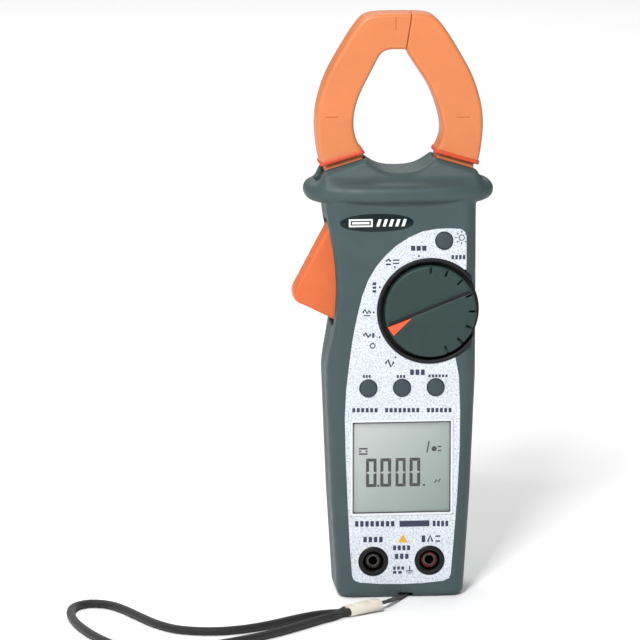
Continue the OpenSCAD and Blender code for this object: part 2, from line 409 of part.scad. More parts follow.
// Clip: a flattened tube, its case end raised a little
clip_a = [-12.8, -41.4, 3.3];
clip_b = [-26.8, -49.0, 2.2];
clip_dir = unit(clip_b - clip_a);
clip_side = unit(cross([0, 0, 1], clip_dir));
clip_len = norm(clip_b - clip_a);
function fp(u, v, w = 0) = clip_a + clip_dir * u + clip_side * v + [0, 0, w];
module strap_ferrule() color([0.88, 0.86, 0.80]) translate(clip_a) multmatrix([[clip_dir[0], clip_side[0], cross(clip_dir, clip_side)[0], 0], [clip_dir[1], clip_side[1], cross(clip_dir, clip_side)[1], 0], [clip_dir[2], clip_side[2], cross(clip_dir, clip_side)[2], 0]]) {
  difference() {
    union() { bx([0, -1.7, -2.15], [clip_len, 1.7, 2.15]); for (s = [-1, 1]) translate([0, s * 1.7, 0]) rotate([0, 90, 0]) cylinder(r = 2.15, h = clip_len); }
    for (x = [4, 12]) translate([x, 0, 2.7]) rotate([90, 0, 0]) cylinder(r = 0.9, h = 12, center = true);
  }
}
// Thin doubled cord: clip, out to the recess, round the bar and back
loop_route = [fp(2.4, -0.75), fp(0.2, -0.75), [-9.4, -36.6, 2.9], [-5.6, -28.8, 2.0], [-2.2, -21.8, 1.1], [0.2, -17.4, 0.8], [1.6, -14.2, 0.85],
  [1.8, -12.0, 1.2], [1.8, -10.2, 1.8], [1.8, -8.4, 2.0], [1.85, -6.9, 3.0], [1.95, -6.3, 4.7], [2.05, -6.9, 6.2], [2.3, -8.3, 7.3], [2.6, -9.8, 7.3], [2.9, -11.2, 6.3], [3.1, -11.9, 4.7], [3.2, -12.4, 3.0],
  [3.1, -13.4, 1.6], [2.6, -15.2, 0.9], [1.4, -18.2, 0.8], [-1.0, -22.6, 1.1], [-4.4, -29.6, 2.0], [-8.4, -37.2, 2.9], fp(0.2, 0.75), fp(2.4, 0.75)];
module strap_loop() color(black) tube(smooth(loop_route, 2), 0.65);
// Thick cord: out of the clip, round in a long loop on the surface and back
band_route = [fp(13.6, 1.65), fp(16.2, 1.7, -0.05), [-38.2, -52.0, 1.85], [-47.4, -57.4, 1.85], [-56, -64.2, 1.85], [-65, -70.6, 1.85], [-74.4, -75.2, 1.85], [-84, -77.2, 1.85], [-93.4, -75.8, 1.85], [-101.6, -71.4, 1.85], [-108.6, -62, 1.85],
  [-114.8, -49, 1.85], [-120.2, -36.6, 1.85], [-126.4, -26.8, 1.85], [-134.4, -23.4, 1.85], [-141.2, -28.4, 1.85], [-143.6, -39, 1.85], [-142.6, -53, 1.85], [-139.4, -68, 1.85], [-134, -84, 1.85], [-126.4, -99, 1.85], [-116.4, -108.6, 1.85],
  [-105.2, -110.4, 1.85], [-95, -105.4, 1.85], [-85.6, -99.4, 1.85], [-76, -93.8, 1.85], [-66.6, -87.2, 1.85], [-57, -79.2, 1.85], [-47.6, -69.8, 1.85], [-38.4, -60.4, 1.85], [-32.6, -55.2, 1.85], fp(16.2, -1.75, -0.05), fp(13.6, -1.65)];
module strap_band() color(black) tube(smooth(band_route, 2), 1.8);

front_case();
rear_case();
front_label();
badge_plate();
lcd_bezel();
lcd_lens();
lcd_glass();
lcd_backlight();
zebra_strips();
main_pcb();
pcb_chips();
tact_switches();
buzzer();
rotary_knob();
knob_pointer();
selector_rotor();
rotor_wipers();
detent_ball();
detent_spring();
hold_key();
left_key();
middle_key();
right_key();
com_jack_shroud();
com_jack_core();
com_socket();
volt_jack_shroud();
volt_jack_core();
volt_socket();
batteries();
battery_contacts();
battery_cover();
battery_cover_screw();
case_screws();
left_jaw_front();
left_jaw_rear();
left_core();
left_coil();
left_lever();
trigger();
trigger_screws();
right_jaw_front();
right_jaw_rear();
right_core();
right_coil();
right_lever();
pivot_pins();
left_jaw_spring();
right_jaw_spring();
strap_bar();
strap_loop();
strap_ferrule();
strap_band();
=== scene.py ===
import json
import math
import bpy
import bmesh
import numpy as np
from mathutils import Matrix, Vector


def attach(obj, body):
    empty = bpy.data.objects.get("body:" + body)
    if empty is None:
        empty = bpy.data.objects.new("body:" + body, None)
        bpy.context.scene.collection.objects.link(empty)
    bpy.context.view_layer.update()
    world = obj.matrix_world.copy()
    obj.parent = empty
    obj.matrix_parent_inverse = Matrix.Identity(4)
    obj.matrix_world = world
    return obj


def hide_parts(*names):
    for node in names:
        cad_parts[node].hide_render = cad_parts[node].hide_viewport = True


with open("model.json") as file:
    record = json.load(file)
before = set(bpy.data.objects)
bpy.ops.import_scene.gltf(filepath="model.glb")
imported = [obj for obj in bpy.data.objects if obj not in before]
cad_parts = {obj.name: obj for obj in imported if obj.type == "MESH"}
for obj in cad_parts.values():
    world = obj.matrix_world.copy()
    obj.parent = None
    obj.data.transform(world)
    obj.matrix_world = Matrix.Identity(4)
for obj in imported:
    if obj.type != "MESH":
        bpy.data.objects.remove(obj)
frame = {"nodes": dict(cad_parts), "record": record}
nodes = frame["nodes"]
body_of = {n: b for b, ns in frame["record"]["behaviour"]["bodies"].items() for n in ns}


def stand(piece, node):
    """The piece stands for the CAD node and rides on the node's body."""
    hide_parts(node)
    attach(piece, body_of[node])
    return piece

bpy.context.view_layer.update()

# ------------------------------------------------------------------ camera
sc = bpy.context.scene
AZ, EL, DIST = math.radians(-5.5), math.radians(10.0), 1.937
back = Vector((math.sin(AZ) * math.cos(EL), -math.cos(AZ) * math.cos(EL), math.sin(EL)))
right = Vector((0, 0, 1)).cross(back).normalized()
up = back.cross(right).normalized()
cam_data = bpy.data.cameras.new("camera")
cam_data.lens = 250.0
cam_data.sensor_width = 36.0
cam_data.clip_start = 0.05
cam_data.clip_end = 30.0
cam = bpy.data.objects.new("camera", cam_data)
sc.collection.objects.link(cam)
sc.camera = cam
m = Matrix((right, up, back)).transposed().to_4x4()
m.translation = right * -0.0334 + up * 0.1168 + back * DIST
cam.matrix_world = m


# ------------------------------------------------------------------ materials
def lin(c):
    c = [x / 255.0 for x in c]
    return [x / 12.92 if x <= 0.04045 else ((x + 0.055) / 1.055) ** 2.4 for x in c]


class Mat:
    def __init__(self, name, rough=0.5, metal=0.0, ior=1.5, spec=0.5):
        self.m = bpy.data.materials.new(name)
        self.m.use_nodes = True
        self.t = self.m.node_tree
        self.b = next(n for n in self.t.nodes if n.type == "BSDF_PRINCIPLED")
        self.b.inputs["Roughness"].default_value = rough
        self.b.inputs["Metallic"].default_value = metal
        self.b.inputs["IOR"].default_value = ior
        self.b.inputs["Specular IOR Level"].default_value = spec
        self.tc = self.t.nodes.new("ShaderNodeTexCoord")

    def link(self, a, b):
        self.t.links.new(a, b)

    def noise(self, scale, detail=2.0, rough=0.5, stretch=None):
        n = self.t.nodes.new("ShaderNodeTexNoise")
        n.inputs["Scale"].default_value = scale
        n.inputs["Detail"].default_value = detail
        n.inputs["Roughness"].default_value = rough
        src = self.tc.outputs["Object"]
        if stretch:
            mp = self.t.nodes.new("ShaderNodeMapping")
            mp.inputs["Scale"].default_value = stretch
            self.link(src, mp.inputs["Vector"])
            src = mp.outputs["Vector"]
        self.link(src, n.inputs["Vector"])
        return n.outputs["Fac"]

    def ramp(self, fac, stops):
        r = self.t.nodes.new("ShaderNodeValToRGB")
        el = r.color_ramp.elements
        while len(el) < len(stops):
            el.new(0.5)
        for e, (p, c) in zip(el, stops):
            e.position = p
            e.color = (*c, 1.0)
        self.link(fac, r.inputs["Fac"])
        return r.outputs["Color"]

    def colour(self, fac, lo, hi, a=0.35, b=0.65):
        self.link(self.ramp(fac, [(a, lo), (b, hi)]), self.b.inputs["Base Color"])
        return self

    def rough(self, fac, lo, hi, a=0.3, b=0.7):
        r = self.ramp(fac, [(a, [lo] * 3), (b, [hi] * 3)])
        self.link(r, self.b.inputs["Roughness"])
        return self

    def bump(self, fac, strength, dist):
        n = self.t.nodes.new("ShaderNodeBump")
        n.inputs["Strength"].default_value = strength
        n.inputs["Distance"].default_value = dist
        self.link(fac, n.inputs["Height"])
        self.link(n.outputs["Normal"], self.b.inputs["Normal"])
        return self


def vary(c, f):
    return [min(1.0, x * f) for x in lin(c)]


def plastic(name, c, rough=0.5, grain=1800, bump=0.25, var=0.05, blotch=90, ior=1.5, sss=0.0, dist=0.0001, spec=0.35):
    a = Mat(name, rough, 0.0, ior, spec)
    a.colour(a.noise(blotch, 4.0, 0.6), vary(c, 1 - var), vary(c, 1 + var))
    a.bump(a.noise(grain, 2.0, 0.6), bump, dist)
    a.rough(a.noise(blotch * 3, 3.0), rough - 0.05, rough + 0.06)
    if sss:
        a.b.inputs["Subsurface Weight"].default_value = sss
        a.b.inputs["Subsurface Scale"].default_value = 0.002
    return a.m


def metal(name, c, rough=0.3, line=(30, 30, 900)):
    a = Mat(name, rough, 1.0, 2.5)
    a.colour(a.noise(300, 3.0), vary(c, 0.88), vary(c, 1.08))
    a.rough(a.noise(1.0, 2.0, 0.5, line), rough - 0.06, rough + 0.1)
    a.bump(a.noise(1.0, 2.0, 0.5, line), 0.08, 0.00005)
    return a.m


M = {}
M["slate"] = plastic("slate_plastic", (60, 76, 78), 0.5, 2600, 0.32, 0.05)
M["slate_rear"] = plastic("slate_rear_plastic", (60, 76, 78), 0.53, 2600, 0.32, 0.05)
M["knob"] = plastic("knob_plastic", (41, 59, 58), 0.5, 2800, 0.25, 0.05, spec=0.3)
M["ring"] = plastic("ring_plastic", (17, 19, 23), 0.5, 2600, 0.2, 0.05, spec=0.3)
M["key"] = plastic("key_plastic", (56, 68, 73), 0.5, 2600, 0.25, 0.04, spec=0.3)
M["black"] = plastic("black_plastic", (12, 13, 14), 0.42, 2400, 0.2, 0.08, spec=0.3)
M["dark"] = plastic("dark_rubber", (18, 20, 22), 0.62, 2400, 0.3, 0.08)
M["white"] = plastic("white_frame_plastic", (216, 220, 225), 0.45, 2400, 0.1, 0.015)
M["diffuser"] = plastic("diffuser_plastic", (225, 230, 232), 0.6, 2000, 0.1, 0.02)
M["cream"] = plastic("cream_plastic", (232, 226, 208), 0.5, 2000, 0.15, 0.03)
M["red"] = plastic("red_plastic", (92, 14, 22), 0.45, 2200, 0.2, 0.05)
M["pointer"] = plastic("pointer_paint", (233, 88, 52), 0.42, 2600, 0.1, 0.03)
M["print"] = plastic("print_ink", (48, 56, 76), 0.6, 3000, 0.05, 0.05)
M["print_light"] = plastic("print_ink_light", (226, 232, 232), 0.6, 3000, 0.05, 0.03)
M["print_mark"] = plastic("moulded_mark", (178, 88, 50), 0.6, 3000, 0.05, 0.05)
M["amber"] = plastic("amber_ink", (214, 160, 60), 0.55, 3000, 0.05, 0.04)
M["digit"] = plastic("digit_ink", (14, 20, 22), 0.5, 3000, 0.03, 0.05)
M["digit_shadow"] = plastic("digit_shadow_ink", (118, 130, 127), 0.6, 3000, 0.03, 0.02)
M["cell"] = plastic("cell_sleeve", (58, 62, 70), 0.35, 900, 0.05, 0.1)
M["pcb"] = plastic("board", (28, 84, 60), 0.45, 1200, 0.15, 0.12, 400)
M["steel"] = metal("steel", (176, 178, 182), 0.3)
M["iron"] = metal("core_iron", (118, 120, 124), 0.45)
M["copper"] = metal("copper_wire", (184, 112, 74), 0.34, (900, 900, 60))
M["brass"] = metal("brass", (196, 160, 92), 0.28)
M["nickel"] = metal("nickel", (96, 92, 88), 0.34)
M["zinc"] = metal("zinc", (158, 160, 164), 0.42)

# painted ellipse on the head: very dark green, slightly glossy
M["badge"] = plastic("badge_face", (8, 26, 28), 0.35, 2400, 0.06, 0.08, spec=0.25)

# speckled light plate
a = Mat("label_sheet", 0.42)
n1, n2 = a.noise(1500, 3.0, 0.75), a.noise(160, 3.0)
c1 = a.ramp(n1, [(0.33, lin((140, 147, 162))), (0.46, lin((200, 206, 215))), (0.62, lin((222, 227, 233)))])
c2 = a.ramp(n2, [(0.35, [0.95] * 3), (0.65, [1.0] * 3)])
mx = a.t.nodes.new("ShaderNodeMix")
mx.data_type = "RGBA"
mx.blend_type = "MULTIPLY"
mx.inputs[0].default_value = 1.0
a.link(c1, mx.inputs[6])
a.link(c2, mx.inputs[7])
a.link(mx.outputs[2], a.b.inputs["Base Color"])
a.bump(a.noise(2600, 2.0), 0.12, 0.00004)
a.rough(n2, 0.38, 0.48)
M["label"] = a.m

# jaws and trigger: salmon-orange moulded plastic; the collar at the jaw roots is darker red, painted shade on the
# downward-facing root step
def orange(name, c, sink=0.05):
    a = Mat(name, 0.4)
    n = a.noise(70, 4.0, 0.6)
    base = a.ramp(n, [(0.3, vary(c, 1 - sink)), (0.7, vary(c, 1 + sink))])
    a.link(base, a.b.inputs["Base Color"])
    a.rough(a.noise(240, 3.0), 0.36, 0.47)
    a.bump(a.noise(2400, 2.0, 0.6), 0.18, 0.0001)
    a.b.inputs["Subsurface Weight"].default_value = 0.12
    a.b.inputs["Subsurface Radius"].default_value = (1.0, 0.5, 0.25)
    a.b.inputs["Subsurface Scale"].default_value = 0.0015
    return a.m


M["orange"] = orange("jaw_orange", (205, 120, 71))
M["trigger"] = orange("trigger_orange", (208, 100, 48))
# painted shade: darker red colour standing in for the shaded step at the jaw roots
M["collar"] = orange("collar_painted_shade_orange", (200, 70, 36))

# display glass: pale grey-green, with a painted highlight that makes it lighter towards the upper left, where the
# light comes from
a = Mat("display_glass_painted_highlight", 0.3)
mp = a.t.nodes.new("ShaderNodeMapping")
mp.inputs["Location"].default_value = (1.0, 0.0, 0.0)
mp.inputs["Rotation"].default_value = (0.0, -0.785, 0.0)
mp.inputs["Scale"].default_value = (14.0, 14.0, 14.0)
gr = a.t.nodes.new("ShaderNodeTexGradient")
a.link(a.tc.outputs["Object"], mp.inputs["Vector"])
a.link(mp.outputs["Vector"], gr.inputs["Vector"])
a.link(a.ramp(gr.outputs["Fac"], [(0.05, lin((238, 241, 239))), (0.45, lin((192, 203, 199))), (0.85, lin((150, 167, 162)))]), a.b.inputs["Base Color"])
a.bump(a.noise(3000, 2.0), 0.05, 0.00003)
M["lcd"] = a.m

# clear window
a = Mat("clear_window", 0.04, 0.0, 1.46)
a.b.inputs["Base Color"].default_value = (0.97, 0.985, 0.98, 1)
a.b.inputs["Transmission Weight"].default_value = 1.0
a.bump(a.noise(60, 2.0), 0.02, 0.0001)
M["lens"] = a.m


# strap: black braid
def braid(name, c, s):
    a = Mat(name, 0.7)
    w = a.t.nodes.new("ShaderNodeTexWave")
    w.wave_type = "BANDS"
    w.bands_direction = "DIAGONAL"
    w.inputs["Scale"].default_value = s
    w.inputs["Distortion"].default_value = 1.5
    w.inputs["Detail"].default_value = 2.0
    w.inputs["Detail Scale"].default_value = 2.0
    a.link(a.tc.outputs["Object"], w.inputs["Vector"])
    a.colour(w.outputs["Fac"], vary(c, 0.6), vary(c, 1.3), 0.2, 0.8)
    a.bump(w.outputs["Fac"], 0.5, 0.0002)
    a.b.inputs["Sheen Weight"].default_value = 0.1
    a.b.inputs["Sheen Roughness"].default_value = 0.5
    return a.m


M["cord"] = braid("strap_cord", (20, 20, 21), 320)
M["cord_thin"] = braid("strap_thin_cord", (17, 17, 18), 600)
M["ferrule"] = plastic("ferrule_plastic", (218, 211, 198), 0.34, 2000, 0.08, 0.02, sss=0.1)


# ------------------------------------------------------------------ helpers
def add(name, verts, faces, mat, smooth=True, angle=None):
    me = bpy.data.meshes.new(name)
    verts = np.asarray(verts, dtype=np.float32)
    faces = np.asarray(faces, dtype=np.int32)
    k = faces.shape[1]
    me.vertices.add(len(verts))
    me.vertices.foreach_set("co", verts.ravel())
    me.loops.add(faces.size)
    me.loops.foreach_set("vertex_index", faces.ravel())
    me.polygons.add(len(faces))
    me.polygons.foreach_set("loop_start", np.arange(0, faces.size, k, dtype=np.int32))
    me.polygons.foreach_set("loop_total", np.full(len(faces), k, dtype=np.int32))
    me.update(calc_edges=True)
    me.validate()
    if smooth:
        me.shade_smooth()
    if angle:
        me.set_sharp_from_angle(angle=math.radians(angle))
    ob = bpy.data.objects.new(name, me)
    sc.collection.objects.link(ob)
    me.materials.append(mat)
    return ob


def soft(node, width, mat, name=None, seg=2, angle=32.0, flat=False):
    """A copy of a CAD node's solid with its sharp edges rounded."""
    src = nodes[node]
    bm = bmesh.new()
    bm.from_mesh(src.data)
    bm.transform(src.matrix_world)
    bmesh.ops.remove_doubles(bm, verts=bm.verts, dist=2e-6)
    bmesh.ops.dissolve_limit(bm, angle_limit=math.radians(0.6), verts=bm.verts, edges=bm.edges)
    if width:
        es = [e for e in bm.edges if len(e.link_faces) == 2 and e.calc_face_angle(0) > math.radians(angle)]
        bmesh.ops.bevel(bm, geom=es, offset=width, offset_type="OFFSET", segments=seg, profile=0.5, affect="EDGES", clamp_overlap=True)
    me = bpy.data.meshes.new(name or node + "_v")
    bm.to_mesh(me)
    bm.free()
    me.shade_smooth()
    me.set_sharp_from_angle(angle=math.radians(30 if flat else 42))
    me.materials.clear()
    me.materials.append(mat)
    ob = bpy.data.objects.new(name or node + "_v", me)
    sc.collection.objects.link(ob)
    stand(ob, node)
    return ob


def flat(name, loops, y0, y1, mat, body, res=1, bevel=0.0):
    """Flat sheet from closed XZ outlines in mm (later ones are holes), between depths y0 and y1."""
    cu = bpy.data.curves.new(name + "_c", "CURVE")
    cu.dimensions = "2D"
    cu.fill_mode = "BOTH"
    cu.extrude = abs(y1 - y0) / 2000.0 - bevel / 1000.0
    cu.bevel_depth = bevel / 1000.0
    cu.bevel_resolution = 1
    for lp in loops:
        sp = cu.splines.new("POLY")
        sp.points.add(len(lp) - 1)
        for p, (x, z) in zip(sp.points, lp):
            p.co = (x / 1000.0, z / 1000.0, 0, 1)
        sp.use_cyclic_u = True
    o = bpy.data.objects.new(name + "_c", cu)
    sc.collection.objects.link(o)
    dg = bpy.context.evaluated_depsgraph_get()
    me = bpy.data.meshes.new_from_object(o.evaluated_get(dg))
    bpy.data.objects.remove(o)
    me.transform(Matrix.Translation((0, (y0 + y1) / 2000.0, 0)) @ Matrix.Rotation(math.radians(90), 4, "X"))
    me.name = name
    bm = bmesh.new()
    bm.from_mesh(me)
    bmesh.ops.remove_doubles(bm, verts=bm.verts, dist=1e-7)
    bm.to_mesh(me)
    bm.free()
    ob = bpy.data.objects.new(name, me)
    sc.collection.objects.link(ob)
    me.shade_smooth()
    me.set_sharp_from_angle(angle=math.radians(30))
    me.materials.clear()
    me.materials.append(mat)
    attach(ob, body)
    return ob


def circle(x, z, r, n=48, a0=0.0):
    return [(x + r * math.cos(a0 + 2 * math.pi * i / n), z + r * math.sin(a0 + 2 * math.pi * i / n)) for i in range(n)]


def rect(x0, z0, x1, z1, r=0.0, n=4):
    if r <= 0:
        return [(x0, z0), (x1, z0), (x1, z1), (x0, z1)]
    out = []
    for cx, cz, a in ((x1 - r, z0 + r, -90), (x1 - r, z1 - r, 0), (x0 + r, z1 - r, 90), (x0 + r, z0 + r, 180)):
        for i in range(n + 1):
            t = math.radians(a + 90.0 * i / n)
            out.append((cx + r * math.cos(t), cz + r * math.sin(t)))
    return out


def stroke(pts, w):
    """Outline of an open line of width w."""
    p = np.asarray(pts, float)
    t = np.gradient(p, axis=0)
    t /= np.linalg.norm(t, axis=1, keepdims=True)
    n = np.stack([-t[:, 1], t[:, 0]], 1) * (w / 2)
    return [tuple(q) for q in np.concatenate([p + n, (p - n)[::-1]])]


def cat_rom(p, k):
    p = np.asarray(p, float)
    out = []
    for i in range(len(p) - 1):
        a, b, c, d = p[max(i - 1, 0)], p[i], p[i + 1], p[min(i + 2, len(p) - 1)]
        for j in range(k):
            t = j / k
            out.append(0.5 * ((2 * b) + (c - a) * t + (2 * a - 5 * b + 4 * c - d) * t * t + (3 * b - a - 3 * c + d) * t ** 3))
    out.append(p[-1])
    return np.array(out)


# ------------------------------------------------------------------ strap
clip_a, clip_b = np.array([-12.8, -41.4, 3.3]), np.array([-26.8, -49.0, 2.2])
clip_dir = (clip_b - clip_a) / np.linalg.norm(clip_b - clip_a)
clip_side = np.cross([0, 0, 1], clip_dir)
clip_side /= np.linalg.norm(clip_side)
clip_up = np.cross(clip_dir, clip_side)
clip_len = float(np.linalg.norm(clip_b - clip_a))


def fp(u, v, w=0.0):
    return list(clip_a + clip_dir * u + clip_side * v + np.array([0, 0, w]))


loop_route = [fp(2.4, -0.75), fp(0.2, -0.75), [-9.4, -36.6, 2.9], [-5.6, -28.8, 2.0], [-2.2, -21.8, 1.1], [0.2, -17.4, 0.8], [1.6, -14.2, 0.85],
              [1.8, -12.0, 1.2], [1.8, -10.2, 1.8], [1.8, -8.4, 2.0], [1.85, -6.9, 3.0], [1.95, -6.3, 4.7], [2.05, -6.9, 6.2], [2.3, -8.3, 7.3], [2.6, -9.8, 7.3], [2.9, -11.2, 6.3], [3.1, -11.9, 4.7], [3.2, -12.4, 3.0],
              [3.1, -13.4, 1.6], [2.6, -15.2, 0.9], [1.4, -18.2, 0.8], [-1.0, -22.6, 1.1], [-4.4, -29.6, 2.0], [-8.4, -37.2, 2.9], fp(0.2, 0.75), fp(2.4, 0.75)]
band_route = [fp(13.6, 1.65), fp(16.2, 1.7, -0.05), [-38.2, -52.0, 1.85], [-47.4, -57.4, 1.85], [-56, -64.2, 1.85], [-65, -70.6, 1.85], [-74.4, -75.2, 1.85], [-84, -77.2, 1.85], [-93.4, -75.8, 1.85], [-101.6, -71.4, 1.85], [-108.6, -62, 1.85],
              [-114.8, -49, 1.85], [-120.2, -36.6, 1.85], [-126.4, -26.8, 1.85], [-134.4, -23.4, 1.85], [-141.2, -28.4, 1.85], [-143.6, -39, 1.85], [-142.6, -53, 1.85], [-139.4, -68, 1.85], [-134, -84, 1.85], [-126.4, -99, 1.85], [-116.4, -108.6, 1.85],
              [-105.2, -110.4, 1.85], [-95, -105.4, 1.85], [-85.6, -99.4, 1.85], [-76, -93.8, 1.85], [-66.6, -87.2, 1.85], [-57, -79.2, 1.85], [-47.6, -69.8, 1.85], [-38.4, -60.4, 1.85], [-32.6, -55.2, 1.85], fp(16.2, -1.75, -0.05), fp(13.6, -1.65)]


def cord_curve(name, route, radius, mat, k=3):
    pts = cat_rom(route, k) / 1000.0
    cu = bpy.data.curves.new(name, "CURVE")
    cu.dimensions = "3D"
    cu.bevel_depth = radius / 1000.0
    cu.bevel_resolution = 4
    cu.use_fill_caps = True
    sp = cu.splines.new("POLY")
    sp.points.add(len(pts) - 1)
    for q, p in zip(sp.points, pts):
        q.co = (*p, 1)
    cu.materials.append(mat)
    o = bpy.data.objects.new(name, cu)
    sc.collection.objects.link(o)
    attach(o, "housing")
    return o, float(np.linalg.norm(np.diff(pts, axis=0), axis=1).sum())


thin, thin_len = cord_curve("strap_thin_cord_v", loop_route, 0.62, M["cord_thin"])
thick, thick_len = cord_curve("strap_thick_cord_v", band_route, 1.78, M["cord"])
stand(thin, "strap_loop")
stand(thick, "strap_band")


# ------------------------------------------------------------------ solids from distance fields
def sm(a, b, k):
    h = np.maximum(k - np.abs(a - b), 0) / k
    return np.minimum(a, b) - h * h * k * 0.25


def both(a, b, r):
    """Intersection with a rounded edge of radius r."""
    return np.minimum(np.maximum(a, b), -r) + np.hypot(np.maximum(a + r, 0), np.maximum(b + r, 0))


def poly(X, Z, pts):
    P = np.asarray(pts, float)
    shape = np.broadcast(X, Z).shape
    d = np.full(shape, 1e9, np.float32)
    s = np.zeros(shape, bool)
    for i in range(len(P)):
        a, b = P[i], P[(i + 1) % len(P)]
        ex, ez = b - a
        if ex * ex + ez * ez < 1e-12:
            continue
        wx, wz = X - a[0], Z - a[1]
        t = np.clip((wx * ex + wz * ez) / (ex * ex + ez * ez), 0, 1)
        d = np.minimum(d, (wx - t * ex) ** 2 + (wz - t * ez) ** 2)
        if ez != 0:
            s ^= ((a[1] > Z) != (b[1] > Z)) & (X < a[0] + (Z - a[1]) / ez * ex)
    return (np.where(s, -1.0, 1.0) * np.sqrt(d)).astype(np.float32)


class Grid:
    def __init__(self, lo, hi, h):
        self.lo, self.h = np.array(lo, float), h
        n = [int(math.ceil((b - a) / h)) + 1 for a, b in zip(lo, hi)]
        ax = [(lo[i] + h * np.arange(n[i])).astype(np.float32) for i in range(3)]
        self.x, self.y, self.z = ax[0].reshape(-1, 1, 1), ax[1].reshape(1, -1, 1), ax[2].reshape(1, 1, -1)
        self.shape = tuple(n)

    def box(self, a, b):
        d = np.maximum(np.abs(self.x - (a[0] + b[0]) / 2) - (b[0] - a[0]) / 2, np.abs(self.z - (a[2] + b[2]) / 2) - (b[2] - a[2]) / 2)
        return np.maximum(d, np.abs(self.y - (a[1] + b[1]) / 2) - (b[1] - a[1]) / 2)

    def cyl(self, x, z, r):
        return np.hypot(self.x - x, self.z - z) - r

    def rod(self, x, z, r, y0, y1):
        return np.maximum(self.cyl(x, z, r), np.abs(self.y - (y0 + y1) / 2) - (y1 - y0) / 2)

    def skin(self, name, f, mat):
        """The surface where f is zero, as a quad mesh."""
        f = np.broadcast_to(f, self.shape).astype(np.float32)
        f = np.where(f == 0, np.float32(1e-5), f)
        s = f < 0
        cnt = np.zeros(tuple(n - 1 for n in self.shape), np.int8)
        corners = [(i, j, k) for i in (0, 1) for j in (0, 1) for k in (0, 1)]
        for i, j, k in corners:
            cnt += s[i:self.shape[0] - 1 + i, j:self.shape[1] - 1 + j, k:self.shape[2] - 1 + k]
        act = (cnt > 0) & (cnt < 8)
        idx = np.argwhere(act)
        vid = np.full(act.shape, -1, np.int32)
        vid[act] = np.arange(len(idx), dtype=np.int32)
        F = {c: f[idx[:, 0] + c[0], idx[:, 1] + c[1], idx[:, 2] + c[2]] for c in corners}
        acc = np.zeros((len(idx), 3), np.float32)
        w = np.zeros(len(idx), np.float32)
        for a in corners:
            for axis in range(3):
                if a[axis]:
                    continue
                b = tuple(1 if q == axis else a[q] for q in range(3))
                fa, fb = F[a], F[b]
                m = (fa < 0) != (fb < 0)
                t = np.where(m, fa / np.where(m, fa - fb, 1), 0)
                for q in range(3):
                    acc[:, q] += m * (a[q] + (t if q == axis else 0))
                w += m
        v = (idx + acc / w[:, None]) * self.h + self.lo
        quads = []
        for axis in range(3):
            u, t = (axis + 1) % 3, (axis + 2) % 3
            lo_s = [slice(None)] * 3
            hi_s = [slice(None)] * 3
            lo_s[axis], hi_s[axis] = slice(0, -1), slice(1, None)
            lo_s[u] = hi_s[u] = slice(1, -1)
            lo_s[t] = hi_s[t] = slice(1, -1)
            s0, s1 = s[tuple(lo_s)], s[tuple(hi_s)]
            e = np.argwhere(s0 != s1)
            inside = s0[e[:, 0], e[:, 1], e[:, 2]]
            e[:, u] += 1
            e[:, t] += 1
            eu, et = np.zeros(3, int), np.zeros(3, int)
            eu[u] = et[t] = 1
            g = lambda p: vid[p[:, 0], p[:, 1], p[:, 2]]
            q = np.stack([g(e), g(e - eu), g(e - eu - et), g(e - et)], 1)
            q[~inside] = q[~inside][:, ::-1]
            quads.append(q)
        q = np.concatenate(quads)
        q = q[(q >= 0).all(1)]
        return add(name, v / 1000.0, q, mat)


# ------------------------------------------------------------------ case halves
FRONT, BACK = 18.0, 18.0
KNOB = (12.0, 125.5)
KEYS = [(-14.5, 92.3), (0.0, 92.3), (14.5, 92.3), (17.9, 155.8)]
JACKS = [(-12.2, 16.3), (12.2, 16.3)]
LCD = (21.2, 37.4, 77.4)
SCREWS = [(-19.6, 9), (19.6, 9), (-25.4, 103), (25.4, 103)]
cradle = [[-15, 190.4], [-12.6, 188.6], [-10, 186.9], [-7.2, 185.7], [-4, 185.1], [0, 184.9], [4, 185.1], [7.2, 185.7], [10, 186.9], [12.6, 188.6], [15, 190.4]]
head_outline = [[-33.6, 174], [-33.6, 178], [-33.5, 183.4], [-32.6, 185.1]] + cradle + [[32.6, 185.1], [33.5, 183.4], [33.6, 178], [33.6, 174]]


